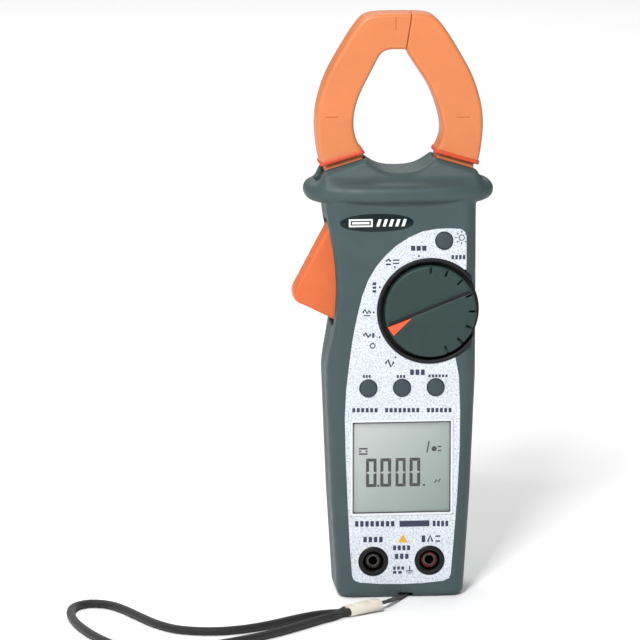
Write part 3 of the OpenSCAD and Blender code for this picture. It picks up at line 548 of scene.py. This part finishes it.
def case_fields(g):
    x, y, z = g.x, g.y, g.z
    ax, ay = np.abs(x), np.abs(y)
    hw = np.interp(z, [0, 8, 45, 97, 200], [27.3, 27.8, 30.1, 32.2, 32.2]).astype(np.float32)
    r = np.where(y < 0, 6.3, 8.2)
    body = both(ax - hw, ay - 18.0, r)
    body = np.maximum(both(body, -z, 3.3), z - 176)
    n, ga, gb = 2.9, 40.7, 22.0
    e = ((ax / ga) ** n + (ay / gb) ** n) + 1e-9
    gg = e ** (1 / n)
    gx = gg ** (1 - n) * ax ** (n - 1) / ga ** n
    gy = gg ** (1 - n) * ay ** (n - 1) / gb ** n
    ring = (gg - 1) / np.maximum(np.hypot(gx, gy), 1e-3)
    ring = np.maximum(ring, -12)
    guard = both(ring, np.abs(z - 176.2) - 4.2, 4.1)
    prof = np.interp(z, [170, 178, 181.5, 186.5, 191], [16.2, 16, 15.4, 13.2, 11.8]).astype(np.float32)
    head = both(poly(x, z, head_outline), ay - prof, 2.2)
    out = sm(sm(body, guard, 0.9), head, 4.0)
    # finger scoop
    dc = np.hypot(x + 134.4, z - 134.2) - 106.8
    out = both(out, -np.maximum(dc, z - 170.6), 1.6)
    # hollow
    inner = both(ax - (hw - 2.2), ay - 15.8, r - 2.2)
    inner = np.maximum(np.maximum(inner, np.maximum(2.6 - z, z - 174.2)), 2.2 - dc)
    slot1 = g.box((-35.9, -7.0, 174.1), (35.9, 7.0, 181.4))
    bridge = poly(x, z, cradle + [[14.2, 187.2], [10.5, 184.3], [5, 182.5], [-5, 182.5], [-10.5, 184.3], [-14.2, 187.2]])
    slot2 = np.maximum(g.box((-50, -7.0, 181.3), (50, 7.0, 200)), -bridge)
    hollow = np.minimum(inner, np.minimum(slot1, slot2))
    trig = g.box((-40, -8, 117.6), (-20, 8, 163.5))
    return out, hollow, trig, dc


H = 0.55


def front_case():
    g = Grid((-42, -23.5, -1.5), (42, 1.5, 192.5), H)
    out, hollow, trig, dc = case_fields(g)
    x, y, z = g.x, g.y, g.z
    d = np.maximum(out, -hollow)
    # selector cup and screw bosses
    cup = np.maximum(np.maximum(g.cyl(*KNOB, 23.2), np.abs(y + 14.95) - 2.05), np.maximum(x - 31, -30 - x))
    d = np.minimum(d, cup)
    for s in SCREWS:
        d = np.minimum(d, g.rod(s[0], s[1], 3.4, -16.6, 0))
    for s in (-22, 22):
        d = np.minimum(d, g.rod(s, 170, 5, -17, -7.2))
    d = np.minimum(d, g.box((-3.1, -16.6, 1.2), (8.1, -2.4, 10.3)))
    ck = g.cyl(*KNOB, 0)
    # openings
    fx, f0, f1 = LCD[0] + 1.1, LCD[1] - 1.1, LCD[2] + 1.1
    win = np.maximum(np.maximum(np.abs(x) - fx, np.abs(z - (f0 + f1) / 2) - (f1 - f0) / 2), y + 10)
    d = np.maximum(d, -win)
    for k in KEYS:
        d = both(d, -np.maximum(g.cyl(k[0], k[1], 3.95), y + 10), 0.4)
    d = np.maximum(d, -np.maximum(np.maximum(ck - 22.9, x - 29.9), y + 14.4))
    d = np.maximum(d, -np.maximum(ck - 21.6, y + 14.4))
    d = np.maximum(d, -np.maximum(ck - 4.45, y + 10))
    for k in JACKS:
        d = both(d, -np.maximum(g.cyl(k[0], k[1], 6.55), y + 10), 0.3)
    d = np.maximum(d, -g.box((-1.9, -14.2, -3), (6.9, -3.6, 8.7)))
    d = both(d, -g.box((-1.1, -30, -3), (5.1, -14, 2.0)), 0.3)
    for s in SCREWS:
        d = np.maximum(d, -np.maximum(g.cyl(s[0], s[1], 1.3), np.abs(y + 6.5) - 7.5))
    for s in (-22, 22):
        d = np.maximum(d, -np.maximum(g.cyl(s, 170, 2.5), np.abs(y + 9) - 4))
    d = np.maximum(d, -trig)
    d = both(d, y + 0.06, 0.45)
    return g.skin("front_case_v", d, M["slate"])


def rear_case():
    g = Grid((-42, -1.5, -1.5), (42, 23.5, 192.5), H)
    out, hollow, trig, dc = case_fields(g)
    x, y, z = g.x, g.y, g.z
    d = np.maximum(out, -hollow)
    d = np.minimum(d, g.box((-13.6, 2.2, 20.4), (13.6, 17, 73.4)))
    d = np.minimum(d, g.box((-5, 8, 72), (5, 17, 79)))
    d = np.minimum(d, g.box((-16.2, 13.7, 16.2), (16.2, 16.9, 82.2)))
    for s in SCREWS:
        d = np.minimum(d, g.rod(s[0], s[1], 4.2, 0, 16.2 if s[1] < 50 else 17))
    for s in (-22, 22):
        d = np.minimum(d, g.rod(s, 170, 5, 7.6, 17))
    d = np.maximum(d, -g.box((-11.9, 3.6, 22.4), (11.9, 20, 71.2)))
    d = both(d, -g.box((-14.3, 15.7, 18.1), (14.3, 24, 80.3)), 0.3)
    d = np.maximum(d, -g.rod(0, 76.4, 1.5, 9, 20))
    for s in SCREWS:
        d = np.maximum(d, -np.maximum(g.cyl(s[0], s[1], 1.8), -1 - y))
        d = both(d, -np.maximum(g.cyl(s[0], s[1], 3.1), 14.4 - y), 0.3)
    for s in (-22, 22):
        d = np.maximum(d, -g.rod(s, 170, 2.5, 5, 13.5))
    # shallow grip grooves across the lower back
    for k in range(9):
        zz = 96.0 + 5.2 * k
        d = both(d, -(np.hypot(y - 18.55, z - zz) - 1.0 + 2.0 * np.maximum(np.abs(x) - 16, 0)), 0.3)
    d = np.maximum(d, -trig)
    d = both(d, -y + 0.06, 0.45)
    return g.skin("rear_case_v", d, M["slate_rear"])


fc = front_case()
stand(fc, "front_case")
rc = rear_case()
stand(rc, "rear_case")

# ------------------------------------------------------------------ jaws
jo = [[0, 252], [5, 252], [10, 251.8], [13.4, 251.1], [16.4, 249.1], [21.1, 242.8], [26.1, 234.6], [30.3, 227.0], [33.2, 219.6], [35.2, 211.6], [35.8, 203.4], [35.0, 194.5], [33.5, 186.8]]
ji = [[0, 236.6], [1.2, 236.6], [2.6, 236.3], [3.6, 235.2], [4.8, 233.0], [7.4, 228.9], [10.5, 224.3], [13.4, 219.4], [15.5, 214.4], [17.3, 208.6], [18.3, 203.0], [17.7, 197.6], [15.2, 192.2]]
jil = [[0, 236.6], [3, 236.6], [5.8, 236.2], [7.8, 235.0], [9.3, 233.0], [11.6, 228.6], [14.1, 223.8], [16.5, 219.0], [18.4, 214.0], [19.6, 208.6], [19.7, 203.0], [18.3, 197.6], [15.2, 192.2]]
so, si, sil = cat_rom(jo, 3), cat_rom(ji, 3), cat_rom(jil, 3)
mir = lambda p: [[-q[0], q[1]] for q in p]
outer_ring = [list(q) for q in so] + [[33.5, 150], [-33.5, 150]] + mir(so[:0:-1])
inner_ring = [list(q) for q in si] + [[15.2, 150], [-15.2, 150]] + mir(sil[:0:-1])
cut_l = [[-60, 150], [-60, 270], [7.9, 270], [1.9, 232.7], [1.2, 225], [0, 215], [0, 150]]
cut_r = [[60, 150], [60, 270], [8.07, 270], [2.07, 232.7], [1.37, 225], [0.17, 215], [0.17, 150]]
tongue = [[15.9, 194.6], [15.9, 184], [17.2, 178.4], [22, 177.6], [27, 177.8], [30, 179.6], [31.6, 184], [32.4, 191]]
pocket = [[18.6, 177], [18.4, 193.4], [27.6, 192.2], [27.2, 177]]


def jaw(side):
    h = 0.42
    g = Grid((-37.5, -9.2, 175.5) if side < 0 else (-1.5, -9.2, 175.5), (12.5, 9.2, 253.6) if side < 0 else (37.5, 9.2, 253.6), h)
    x, y, z = g.x, g.y, g.z
    ax, ay = np.abs(x), np.abs(y)
    do, di = poly(x, z, outer_ring), poly(x, z, inner_ring)
    root = (192.2 - 0.2951 * (ax - 15.2) - z) / 1.0426
    band = np.maximum(do, -di)
    d2 = np.maximum(band, root)
    d = both(both(do, -di, 0.2), ay - 8.0, 1.7)
    d = both(d, root, 0.4)
    tg = both(poly(ax, z, tongue), ay - 6.6, 0.5)
    d = sm(d, tg, 0.4)
    d = np.maximum(d, -np.maximum(d2 + 2.3, ay - 5.9))
    d = np.maximum(d, -np.maximum(poly(ax, z, pocket), ay - 2.62))
    d = both(d, poly(x, z, cut_l if side < 0 else cut_r), 0.35)
    nm = "left" if side < 0 else "right"
    body = nm + "_jaw"
    for half, s in (("front", 1), ("rear", -1)):
        o = g.skin(f"{nm}_jaw_{half}_v", both(d, s * y + 0.04, 0.3), M["orange"])
        stand(o, f"{nm}_jaw_{half}")
    # collar at the root: a thin band of its own that wraps the jaw, coloured darker red as painted shade on the root
    # step
    h2 = 0.36
    g = Grid((-36.5, -9.6, 184) if side < 0 else (13, -9.6, 184), (-13, 9.6, 196.5) if side < 0 else (36.5, 9.6, 196.5), h2)
    x, y, z = g.x, g.y, g.z
    ax, ay = np.abs(x), np.abs(y)
    band = np.maximum(poly(x, z, outer_ring), -poly(x, z, inner_ring))
    root = (192.2 - 0.2951 * (ax - 15.2) - z) / 1.0426
    c = both(band - 0.45, ay - 8.4, 1.7)
    c = both(c, np.abs(root + 0.95) - 0.95, 0.3)
    c = np.maximum(c, -both(band + 0.25, ay - 7.75, 1.7))
    o = g.skin(f"{nm}_jaw_collar_v", c, M["collar"])
    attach(o, body)


jaw(-1)
jaw(1)

# ------------------------------------------------------------------ trigger
trigger_out = [[-30.4, 161.4], [-31.9, 158.4], [-34.6, 153.6], [-45.0, 134.0], [-45.5, 131.6], [-45.1, 129.4], [-43.6, 128.0], [-40, 126.4], [-30, 121.4], [-24.4, 118.6], [-21.6, 119.4], [-20.2, 124], [-20.6, 140], [-22.4, 157], [-25.4, 161.4]]
g = Grid((-46.6, -8.4, 117.4), (-19, 8.4, 162.6), 0.36)
d = both(poly(g.x, g.z, trigger_out), np.abs(g.y) - 7.4, 1.5)
d = np.maximum(d, -np.maximum(poly(g.x, g.z, [[-28.4, 172], [-21.9, 165], [-21.7, 158], [-22.5, 123.9], [-29.1, 123.9], [-31.1, 140], [-29.7, 158], [-29.7, 170]]), np.abs(g.y) - 2.6))
for zz in (132, 150):
    d = np.maximum(d, -g.cyl(-26, zz, 1.2))
    d = np.maximum(d, -np.maximum(g.cyl(-26, zz, 2.3), 5.6 - g.y))
for k in range(5):
    zz = 134.5 + 4.2 * k
    xx = -45.0 + (zz - 134.0) * (10.4 / 19.6)
    d = both(d, -(np.hypot(g.x - xx + 0.5, g.z - zz) - 0.62), 0.2)
o = g.skin("trigger_v", d, M["trigger"])
stand(o, "trigger")

# ------------------------------------------------------------------ selector
KA = math.radians(201.6)
ca, sa = math.cos(KA), math.sin(KA)
g = Grid((-8.6, -23, 104.9), (32.6, -10.6, 146.1), 0.33)
U = (g.x - KNOB[0]) * ca + (g.z - KNOB[1]) * sa
V = -(g.x - KNOB[0]) * sa + (g.z - KNOB[1]) * ca
rr = np.hypot(U, V)
d = both(rr - 19.7, np.abs(g.y + 17.8) - 2.8, 0.9)
grip = poly(g.y, V, [[-19, -1.2], [-21.9, -1.2], [-21.9, 1.6], [-21.3, 8], [-20.6, 17], [-19, 17]])
d = np.minimum(d, both(grip, rr - 19.1, 0.35))

d = np.minimum(d, np.maximum(rr - 4.1, np.abs(g.y + 13.4) - 2.0))
for k in range(8):
    an = math.radians(91 + 22.5 * k)
    u = U * math.cos(an) + V * math.sin(an)
    v = -U * math.sin(an) + V * math.cos(an)
    d = both(d, -np.maximum(np.maximum(np.abs(v) - 0.42, 16.3 - u), g.y + 18.6), 0.15)
d = np.maximum(d, -np.maximum(poly(U, V, [[8.2, -1.05], [19.3, -1.3], [18.1, 3.6]]), g.y + 20.95))
o = g.skin("rotary_knob_v", d, M["knob"])
stand(o, "rotary_knob")

# painted shadow: a dark strip along the foot of the grip, where the grip's edge is in shade
def uv(u, v):
    return (KNOB[0] + u * ca - v * sa, KNOB[1] + u * sa + v * ca)


o = flat("knob_grip_shadow_line_v", [[uv(-18.7, -1.95), uv(18.7, -1.95), uv(18.75, -1.22), uv(-18.75, -1.22)]], -21.7, -20.4, M["ring"], "selector", bevel=0.12)

# painted shadow: a black ring on the floor of the recess, seen in the shaded gap round the knob
ring_o, ring_i = circle(*KNOB, 21.45, 96), circle(*KNOB, 4.6, 48)
flat("selector_gap_shadow_v", [ring_o, ring_i], -14.55, -14.38, M["black"], "housing")

# lip ring, black: a sleeve inside the raised lip
g = Grid((-12, -19.4, 101.5), (31, -13.6, 149.6), 0.35)
ck = g.cyl(*KNOB, 0)
d = both(np.abs(ck - 22.05) - 0.9, np.abs(g.y + 16.6) - 2.15, 0.6)
d = both(d, g.x - 29.6, 0.5)
o = g.skin("selector_ring_v", d, M["ring"])
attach(o, "housing")

# ------------------------------------------------------------------ label plate
label_low = [[-21.4, 10.2], [-20.6, 8.2], [-18.1, 7.1], [-9, 6.3], [0, 6.1], [9, 6.3], [18.1, 7.1], [20.6, 8.2], [21.4, 10.2], [22.5, 24], [24, 44], [25, 66], [25.1, 82], [24.5, 97], [22.9, 105.2]]
label_high = [[26.6, 143.2], [27.5, 143.2], [27.5, 157.4], [26.9, 159.4], [25.2, 160.7], [20, 161.1], [14.5, 160.9], [8.6, 159.9], [2.6, 157.3], [-2.6, 153.9], [-7.2, 149.8], [-11.3, 144.9], [-14.6, 139.3], [-17.2, 132.4], [-18.9, 125.5], [-20.4, 118.5], [-21.6, 111.5], [-22.9, 101.5], [-24.1, 91], [-24.6, 79], [-24.2, 62], [-23.3, 41], [-22.4, 23]]
arc_pts = [[KNOB[0] + 22.95 * math.cos(math.radians(t)), KNOB[1] + 22.95 * math.sin(math.radians(t))] for t in np.linspace(-61.8, -309.5, 90)]
outline = label_low + arc_pts[1:] + label_high
holes = [rect(-LCD[0] - 1.1, LCD[1] - 1.1, LCD[0] + 1.1, LCD[2] + 1.1, 0.7)]
holes += [circle(k[0], k[1], 3.95, 48) for k in KEYS]
holes += [circle(k[0], k[1], 6.55, 64) for k in JACKS]
o = flat("front_label_v", [outline] + holes, -18.09, -17.92, M["label"], "housing")
stand(o, "front_label")

# ------------------------------------------------------------------ softened CAD solids
soft("lcd_bezel", 0.00025, M["white"])
soft("badge_plate", 0.0002, M["badge"])
soft("battery_cover", 0.0004, M["slate_rear"])
for k in ("hold_key", "left_key", "middle_key", "right_key"):
    soft(k, 0.0004, M["key"])
soft("com_jack_shroud", 0.00035, M["black"])
soft("volt_jack_shroud", 0.00035, M["black"])
soft("com_jack_core", 0.0002, M["black"])
soft("volt_jack_core", 0.0002, M["red"])
o = flat("knob_pointer_v", [[uv(9.0, -0.75), uv(19.5, -0.97), uv(18.5, 3.2)]], -21.95, -21.05, M["pointer"], "selector", bevel=0.1)
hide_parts("knob_pointer")
soft("strap_ferrule", 0.0004, M["ferrule"])
soft("batteries", 0.0005, M["cell"])
soft("case_screws", 0.00015, M["steel"])
soft("battery_cover_screw", 0.00015, M["steel"])
soft("trigger_screws", 0.00015, M["steel"])
soft("com_socket", 0.0001, M["nickel"])
soft("volt_socket", 0.0001, M["nickel"])

# other CAD nodes keep their shape and get a material
use = {
    "lcd_lens": "lens", "lcd_glass": "lcd", "lcd_backlight": "diffuser", "zebra_strips": "dark", "main_pcb": "pcb", "pcb_chips": "black",
    "tact_switches": "black", "buzzer": "black", "selector_rotor": "cream", "rotor_wipers": "brass", "detent_ball": "steel", "detent_spring": "steel",
    "battery_contacts": "nickel", "left_core": "iron", "right_core": "iron", "left_coil": "copper", "right_coil": "copper", "left_lever": "zinc", "right_lever": "zinc",
    "pivot_pins": "steel", "left_jaw_spring": "steel", "right_jaw_spring": "steel", "strap_bar": "steel",
}
for n, k in use.items():
    o = nodes[n]
    for s in o.material_slots:
        s.link = "OBJECT"
        s.material = M[k]

# ------------------------------------------------------------------ display and prints
YG = -15.73


def seg7(x0, z0, x1, z1, on, lean=0.0):
    w, hgt = x1 - x0, z1 - z0
    t = w * 0.29
    g_ = 0.07
    zm = (z0 + z1) / 2
    bars = {
        "a": [(x0 + g_, z1), (x1 - g_, z1), (x1 - t, z1 - t), (x0 + t, z1 - t)],
        "d": [(x0 + g_, z0), (x0 + t, z0 + t), (x1 - t, z0 + t), (x1 - g_, z0)],
        "g": [(x0 + t * 0.7, zm), (x0 + t * 1.2, zm + t / 2), (x1 - t * 1.2, zm + t / 2), (x1 - t * 0.7, zm), (x1 - t * 1.2, zm - t / 2), (x0 + t * 1.2, zm - t / 2)],
        "f": [(x0, z1 - g_), (x0 + t, z1 - t - g_), (x0 + t, zm + t / 2), (x0, zm + g_)],
        "e": [(x0, z0 + g_), (x0, zm - g_), (x0 + t, zm - t / 2), (x0 + t, z0 + t + g_)],
        "b": [(x1, z1 - g_), (x1, zm + g_), (x1 - t, zm + t / 2), (x1 - t, z1 - t - g_)],
        "c": [(x1, z0 + g_), (x1 - t, z0 + t + g_), (x1 - t, zm - t / 2), (x1, zm - g_)],
    }
    return [bars[k] for k in on]


zs, ze = 48.7, 61.2
digits = []
for x0, x1 in ((-15.25, -10.7), (-9.05, -4.4), (-2.45, 1.9), (3.6, 8.2)):
    digits += seg7(x0, zs, x1, ze, "abcdef")
digits += [circle(-9.95, zs + 0.5, 0.5, 14), circle(9.85, zs + 0.5, 0.5, 14)]
digits += [stroke([(14.5, 50.0), (15.2, 51.4), (16.2, 50.4), (16.9, 51.8)], 0.55)]
digits += [rect(-18.3, 62.9, -14.6, 63.6), rect(-18.3, 65.2, -14.6, 65.9), rect(-18.3, 64.0, -17.4, 64.7), rect(-15.5, 64.0, -14.6, 64.7)]
digits += [stroke([(11.1, 63.4), (12.0, 68.4)], 0.6), circle(14.2, 65.0, 1.15, 16, 0.2), rect(15.8, 63.8, 17.3, 64.4), rect(15.8, 65.6, 17.3, 66.2)]
LX, L0, L1 = LCD
# painted shadow: a black frame round the display window, wider at the top and left where the bezel's shade falls on
# the recessed glass
flat("display_edge_shadow_v", [rect(-LX - 0.05, L0 - 0.05, LX + 0.05, L1 + 0.05, 0.6), rect(-LX + 0.62, L0 + 0.3, LX - 0.36, L1 - 0.75, 0.8)], -16.35, -16.05, M["black"], "housing")
flat("display_digits_v", digits, YG - 0.03, YG + 0.03, M["digit"], "housing")

ink, light, amber = [], [], []
ink.append(rect(3.63, 151.66, 5.44, 153.80))
ink.append(rect(6.04, 151.62, 7.85, 153.76))
ink.append(rect(8.45, 151.58, 10.26, 153.72))
ink.append(circle(7.07, 149.34, 0.42, 14))
ink.append(stroke([(-7.11, 147.19), (-6.04, 148.17), (-4.96, 147.15)], 0.72))
ink.append(stroke([(-7.11, 145.93), (-4.96, 145.89)], 0.72))
ink.append(rect(-4.10, 147.44, -1.31, 148.01))
ink.append(rect(-4.10, 146.05, -1.31, 146.61))
ink.append(circle(-3.24, 144.73, 0.42, 14))
ink.append(rect(-12.79, 137.07, -11.24, 138.26))
ink.append(rect(-12.79, 135.51, -11.24, 136.44))
ink.append(rect(-12.79, 133.86, -11.24, 134.87))
ink.append(circle(-9.69, 136.15, 0.42, 14))
ink.append(stroke([(-16.92, 125.15), (-16.06, 126.52), (-15.11, 124.86), (-14.25, 126.15), (-13.65, 125.01)], 0.8))
ink.append(rect(-16.57, 123.66, -13.82, 124.14))
ink.append(circle(-12.27, 125.33, 0.42, 14))
ink.append(stroke([(-16.75, 115.24), (-15.71, 116.43), (-14.60, 114.50), (-13.56, 115.88)], 0.87))
ink.append(rect(-12.96, 114.30, -11.93, 116.28))
ink.append(circle(-9.69, 114.42, 0.42, 14))
ink.append(circle(-12.70, 110.78, 1.25, 20)); ink.append(circle(-12.70, 110.78, 0.75, 20))
ink.append(stroke([(-7.20, 102.91), (-6.08, 104.54), (-4.88, 101.48), (-3.59, 103.63)], 0.87))
ink.append(circle(-2.82, 105.61, 0.42, 14))
ink.append(rect(3.46, 97.77, 5.10, 100.18))
ink.append(rect(5.78, 97.73, 7.42, 100.14))
ink.append(rect(8.11, 97.69, 9.74, 100.10))
ink.append(rect(-16.83, 96.90, -16.02, 98.19))
ink.append(rect(-15.60, 96.88, -14.79, 98.17))
ink.append(rect(-14.37, 96.85, -13.55, 98.15))
ink.append(rect(-2.30, 96.65, -1.39, 97.94))
ink.append(rect(-0.92, 96.63, -0.01, 97.92))
ink.append(rect(0.45, 96.61, 1.36, 97.89))
ink.append(rect(11.33, 96.68, 12.30, 97.88))
ink.append(rect(12.80, 96.66, 13.77, 97.86))
ink.append(rect(14.27, 96.63, 15.24, 97.83))
ink.append(rect(15.74, 96.61, 16.71, 97.81))
ink.append(rect(17.21, 96.58, 18.18, 97.78))
ink.append(rect(18.68, 96.56, 19.65, 97.76))
ink.append(circle(25.39, 156.99, 1.35, 20)); ink.append(circle(25.39, 156.99, 0.95, 20))
ink.append(stroke([(27.41, 156.95), (28.27, 156.94)], 0.46))
ink.append(stroke([(26.82, 155.52), (27.43, 154.89)], 0.46))
ink.append(stroke([(25.39, 154.94), (25.39, 154.07)], 0.46))
ink.append(stroke([(23.96, 155.57), (23.35, 154.96)], 0.46))
ink.append(stroke([(23.37, 157.02), (22.51, 157.03)], 0.46))
ink.append(stroke([(23.96, 158.45), (23.35, 159.08)], 0.46))
ink.append(stroke([(25.39, 159.03), (25.39, 159.90)], 0.46))
ink.append(stroke([(26.82, 158.41), (27.43, 159.01)], 0.46))
ink.append(rect(21.09, 147.71, 22.16, 149.52))
ink.append(rect(22.70, 147.69, 23.77, 149.49))
ink.append(rect(24.32, 147.66, 25.38, 149.47))
ink.append(rect(25.93, 147.63, 26.99, 149.44))
ink.append(rect(-21.39, 81.94, -20.12, 83.83))
ink.append(rect(-19.47, 81.90, -18.20, 83.79))
ink.append(rect(-17.55, 81.87, -16.28, 83.76))
ink.append(rect(-15.63, 81.84, -14.36, 83.73))
ink.append(rect(-13.71, 81.81, -12.44, 83.70))
ink.append(rect(-11.79, 81.77, -10.52, 83.66))
ink.append(rect(-7.24, 81.70, -5.98, 83.59))
ink.append(rect(-5.33, 81.67, -4.06, 83.56))
ink.append(rect(-3.41, 81.63, -2.14, 83.52))
ink.append(rect(-1.49, 81.60, -0.22, 83.49))
ink.append(rect(0.43, 81.57, 1.70, 83.46))
ink.append(rect(2.35, 81.54, 3.62, 83.43))
ink.append(rect(4.27, 81.50, 5.54, 83.39))
ink.append(rect(6.19, 81.47, 7.45, 83.36))
ink.append(rect(10.77, 81.39, 12.01, 83.29))
ink.append(rect(12.64, 81.36, 13.88, 83.25))
ink.append(rect(14.51, 81.33, 15.75, 83.22))
ink.append(rect(16.38, 81.30, 17.62, 83.19))
ink.append(rect(18.25, 81.27, 19.49, 83.16))
ink.append(rect(20.12, 81.24, 21.36, 83.13))
ink.append(rect(-20.14, 31.85, -18.68, 34.26))
ink.append(rect(-17.92, 31.81, -16.46, 34.22))
ink.append(rect(-15.70, 31.77, -14.24, 34.18))
ink.append(rect(-13.48, 31.74, -12.02, 34.15))
ink.append(rect(-11.26, 31.70, -9.80, 34.11))
ink.append(rect(-9.04, 31.66, -7.58, 34.07))
ink.append(rect(-6.82, 31.62, -5.36, 34.03))
ink.append(rect(-4.60, 31.59, -3.14, 34.00))
ink.append(rect(-0.92, 31.35, 12.06, 34.00))
ink.append(rect(13.52, 31.28, 14.73, 33.69))
ink.append(rect(15.35, 31.25, 16.56, 33.66))
ink.append(rect(17.18, 31.22, 18.39, 33.63))
ink.append(rect(19.01, 31.19, 20.21, 33.60))
ink.append(rect(-16.57, 24.83, -15.06, 27.24))
ink.append(rect(-14.28, 24.80, -12.77, 27.20))
ink.append(rect(-12.00, 24.76, -10.48, 27.17))
ink.append(rect(-9.71, 24.72, -8.19, 27.13))
ink.append(rect(8.71, 24.41, 10.26, 27.34))
ink.append(stroke([(11.37, 24.54), (12.41, 27.30), (13.44, 24.50)], 0.84))
ink.append(rect(14.64, 26.57, 16.71, 27.23))
ink.append(rect(14.64, 24.40, 16.71, 25.06))
amber.append([(-1.57, 24.49), (2.77, 24.42), (0.62, 27.93)])
ink.append(rect(-3.67, 21.05, -2.34, 23.20))
ink.append(rect(-1.65, 21.02, -0.32, 23.17))
ink.append(rect(0.37, 20.99, 1.70, 23.14))
ink.append(rect(2.39, 20.95, 3.72, 23.10))
ink.append(rect(-2.86, 17.21, -1.39, 19.45))
ink.append(rect(-0.64, 17.18, 0.83, 19.41))
ink.append(rect(1.59, 17.14, 3.05, 19.38))
ink.append(rect(-3.67, 12.53, -2.48, 13.91))
ink.append(rect(-1.87, 12.50, -0.68, 13.88))
ink.append(rect(-0.06, 12.47, 1.13, 13.84))
ink.append(rect(3.29, 12.07, 3.81, 13.97))
ink.append(rect(2.17, 11.57, 5.01, 12.04))
ink.append(rect(2.77, 10.69, 4.41, 11.09))
ink.append(rect(-3.67, 10.71, -2.17, 11.90))
ink.append(rect(-1.40, 10.67, 0.11, 11.86))
flat("label_print_v", ink, -18.14, -18.07, M["print"], "housing")
flat("label_amber_v", amber, -18.14, -18.07, M["amber"], "housing")

# badge: a blank light block and a plain chevron mark
bm_ = [rect(-23.0, 162.2, -12.8, 165.6, 0.25)]
for k in range(5):
    bx0 = -11.3 + 2.7 * k
    bm_.append([(bx0, 162.3), (bx0 + 1.3, 162.3), (bx0 + 2.3, 165.4), (bx0 + 1.0, 165.4)])
flat("badge_mark_v", bm_, -18.31, -18.24, M["print_light"], "housing")
flat("badge_inset_v", [rect(-22.2, 162.9, -13.6, 164.9, 0.2), rect(-21.6, 163.4, -14.2, 164.4, 0.15)], -18.34, -18.30, M["badge"], "housing")

# moulded alignment lines on the jaws
flat("left_jaw_lines_v", [rect(-2.15, 244.6, -1.75, 250.6), rect(-32.2, 207.9, -26.6, 208.3)], -8.04, -7.9, M["print_mark"], "left_jaw")
flat("right_jaw_lines_v", [rect(24.3, 207.2, 29.9, 207.6)], -8.04, -7.9, M["print_mark"], "right_jaw")

# ------------------------------------------------------------------ stage
me = bpy.data.meshes.new("floor")
me.from_pydata([(-6, -4, 0), (6, -4, 0), (6, 9, 0), (-6, 9, 0)], [], [(0, 1, 2, 3)])
floor = bpy.data.objects.new("floor", me)
sc.collection.objects.link(floor)
a = Mat("floor_paper", 0.9, spec=0.1)
a.colour(a.noise(3, 3.0), (0.93, 0.93, 0.935), (0.95, 0.95, 0.955))
a.bump(a.noise(400, 2.0), 0.05, 0.0002)
me.materials.append(a.m)

w = bpy.data.worlds.new("studio")
sc.world = w
w.use_nodes = True
bg = w.node_tree.nodes["Background"]
bg.inputs[0].default_value = (1.0, 1.0, 1.0, 1)
bg.inputs[1].default_value = 0.25


def area(name, loc, target, size, power, colour=(1, 1, 1)):
    ld = bpy.data.lights.new(name, "AREA")
    ld.shape = "RECTANGLE"
    ld.size, ld.size_y = size
    ld.energy = power
    ld.color = colour
    o = bpy.data.objects.new(name, ld)
    sc.collection.objects.link(o)
    o.location = loc
    o.rotation_euler = (Vector(target) - Vector(loc)).to_track_quat("-Z", "Y").to_euler()
    return o


area("key_light", (-0.42, -1.2, 1.15), (0, 0, 0.10), (0.30, 0.30), 26.0)
area("top_light", (-0.2, 1.75, 2.0), (0, 1.3, 0.0), (3.6, 2.2), 57.0)
area("side_light", (-1.3, -0.5, 0.6), (0, 0, 0.14), (0.6, 0.9), 2.0)

sc.view_settings.view_transform = "Standard"
sc.view_settings.look = "None"
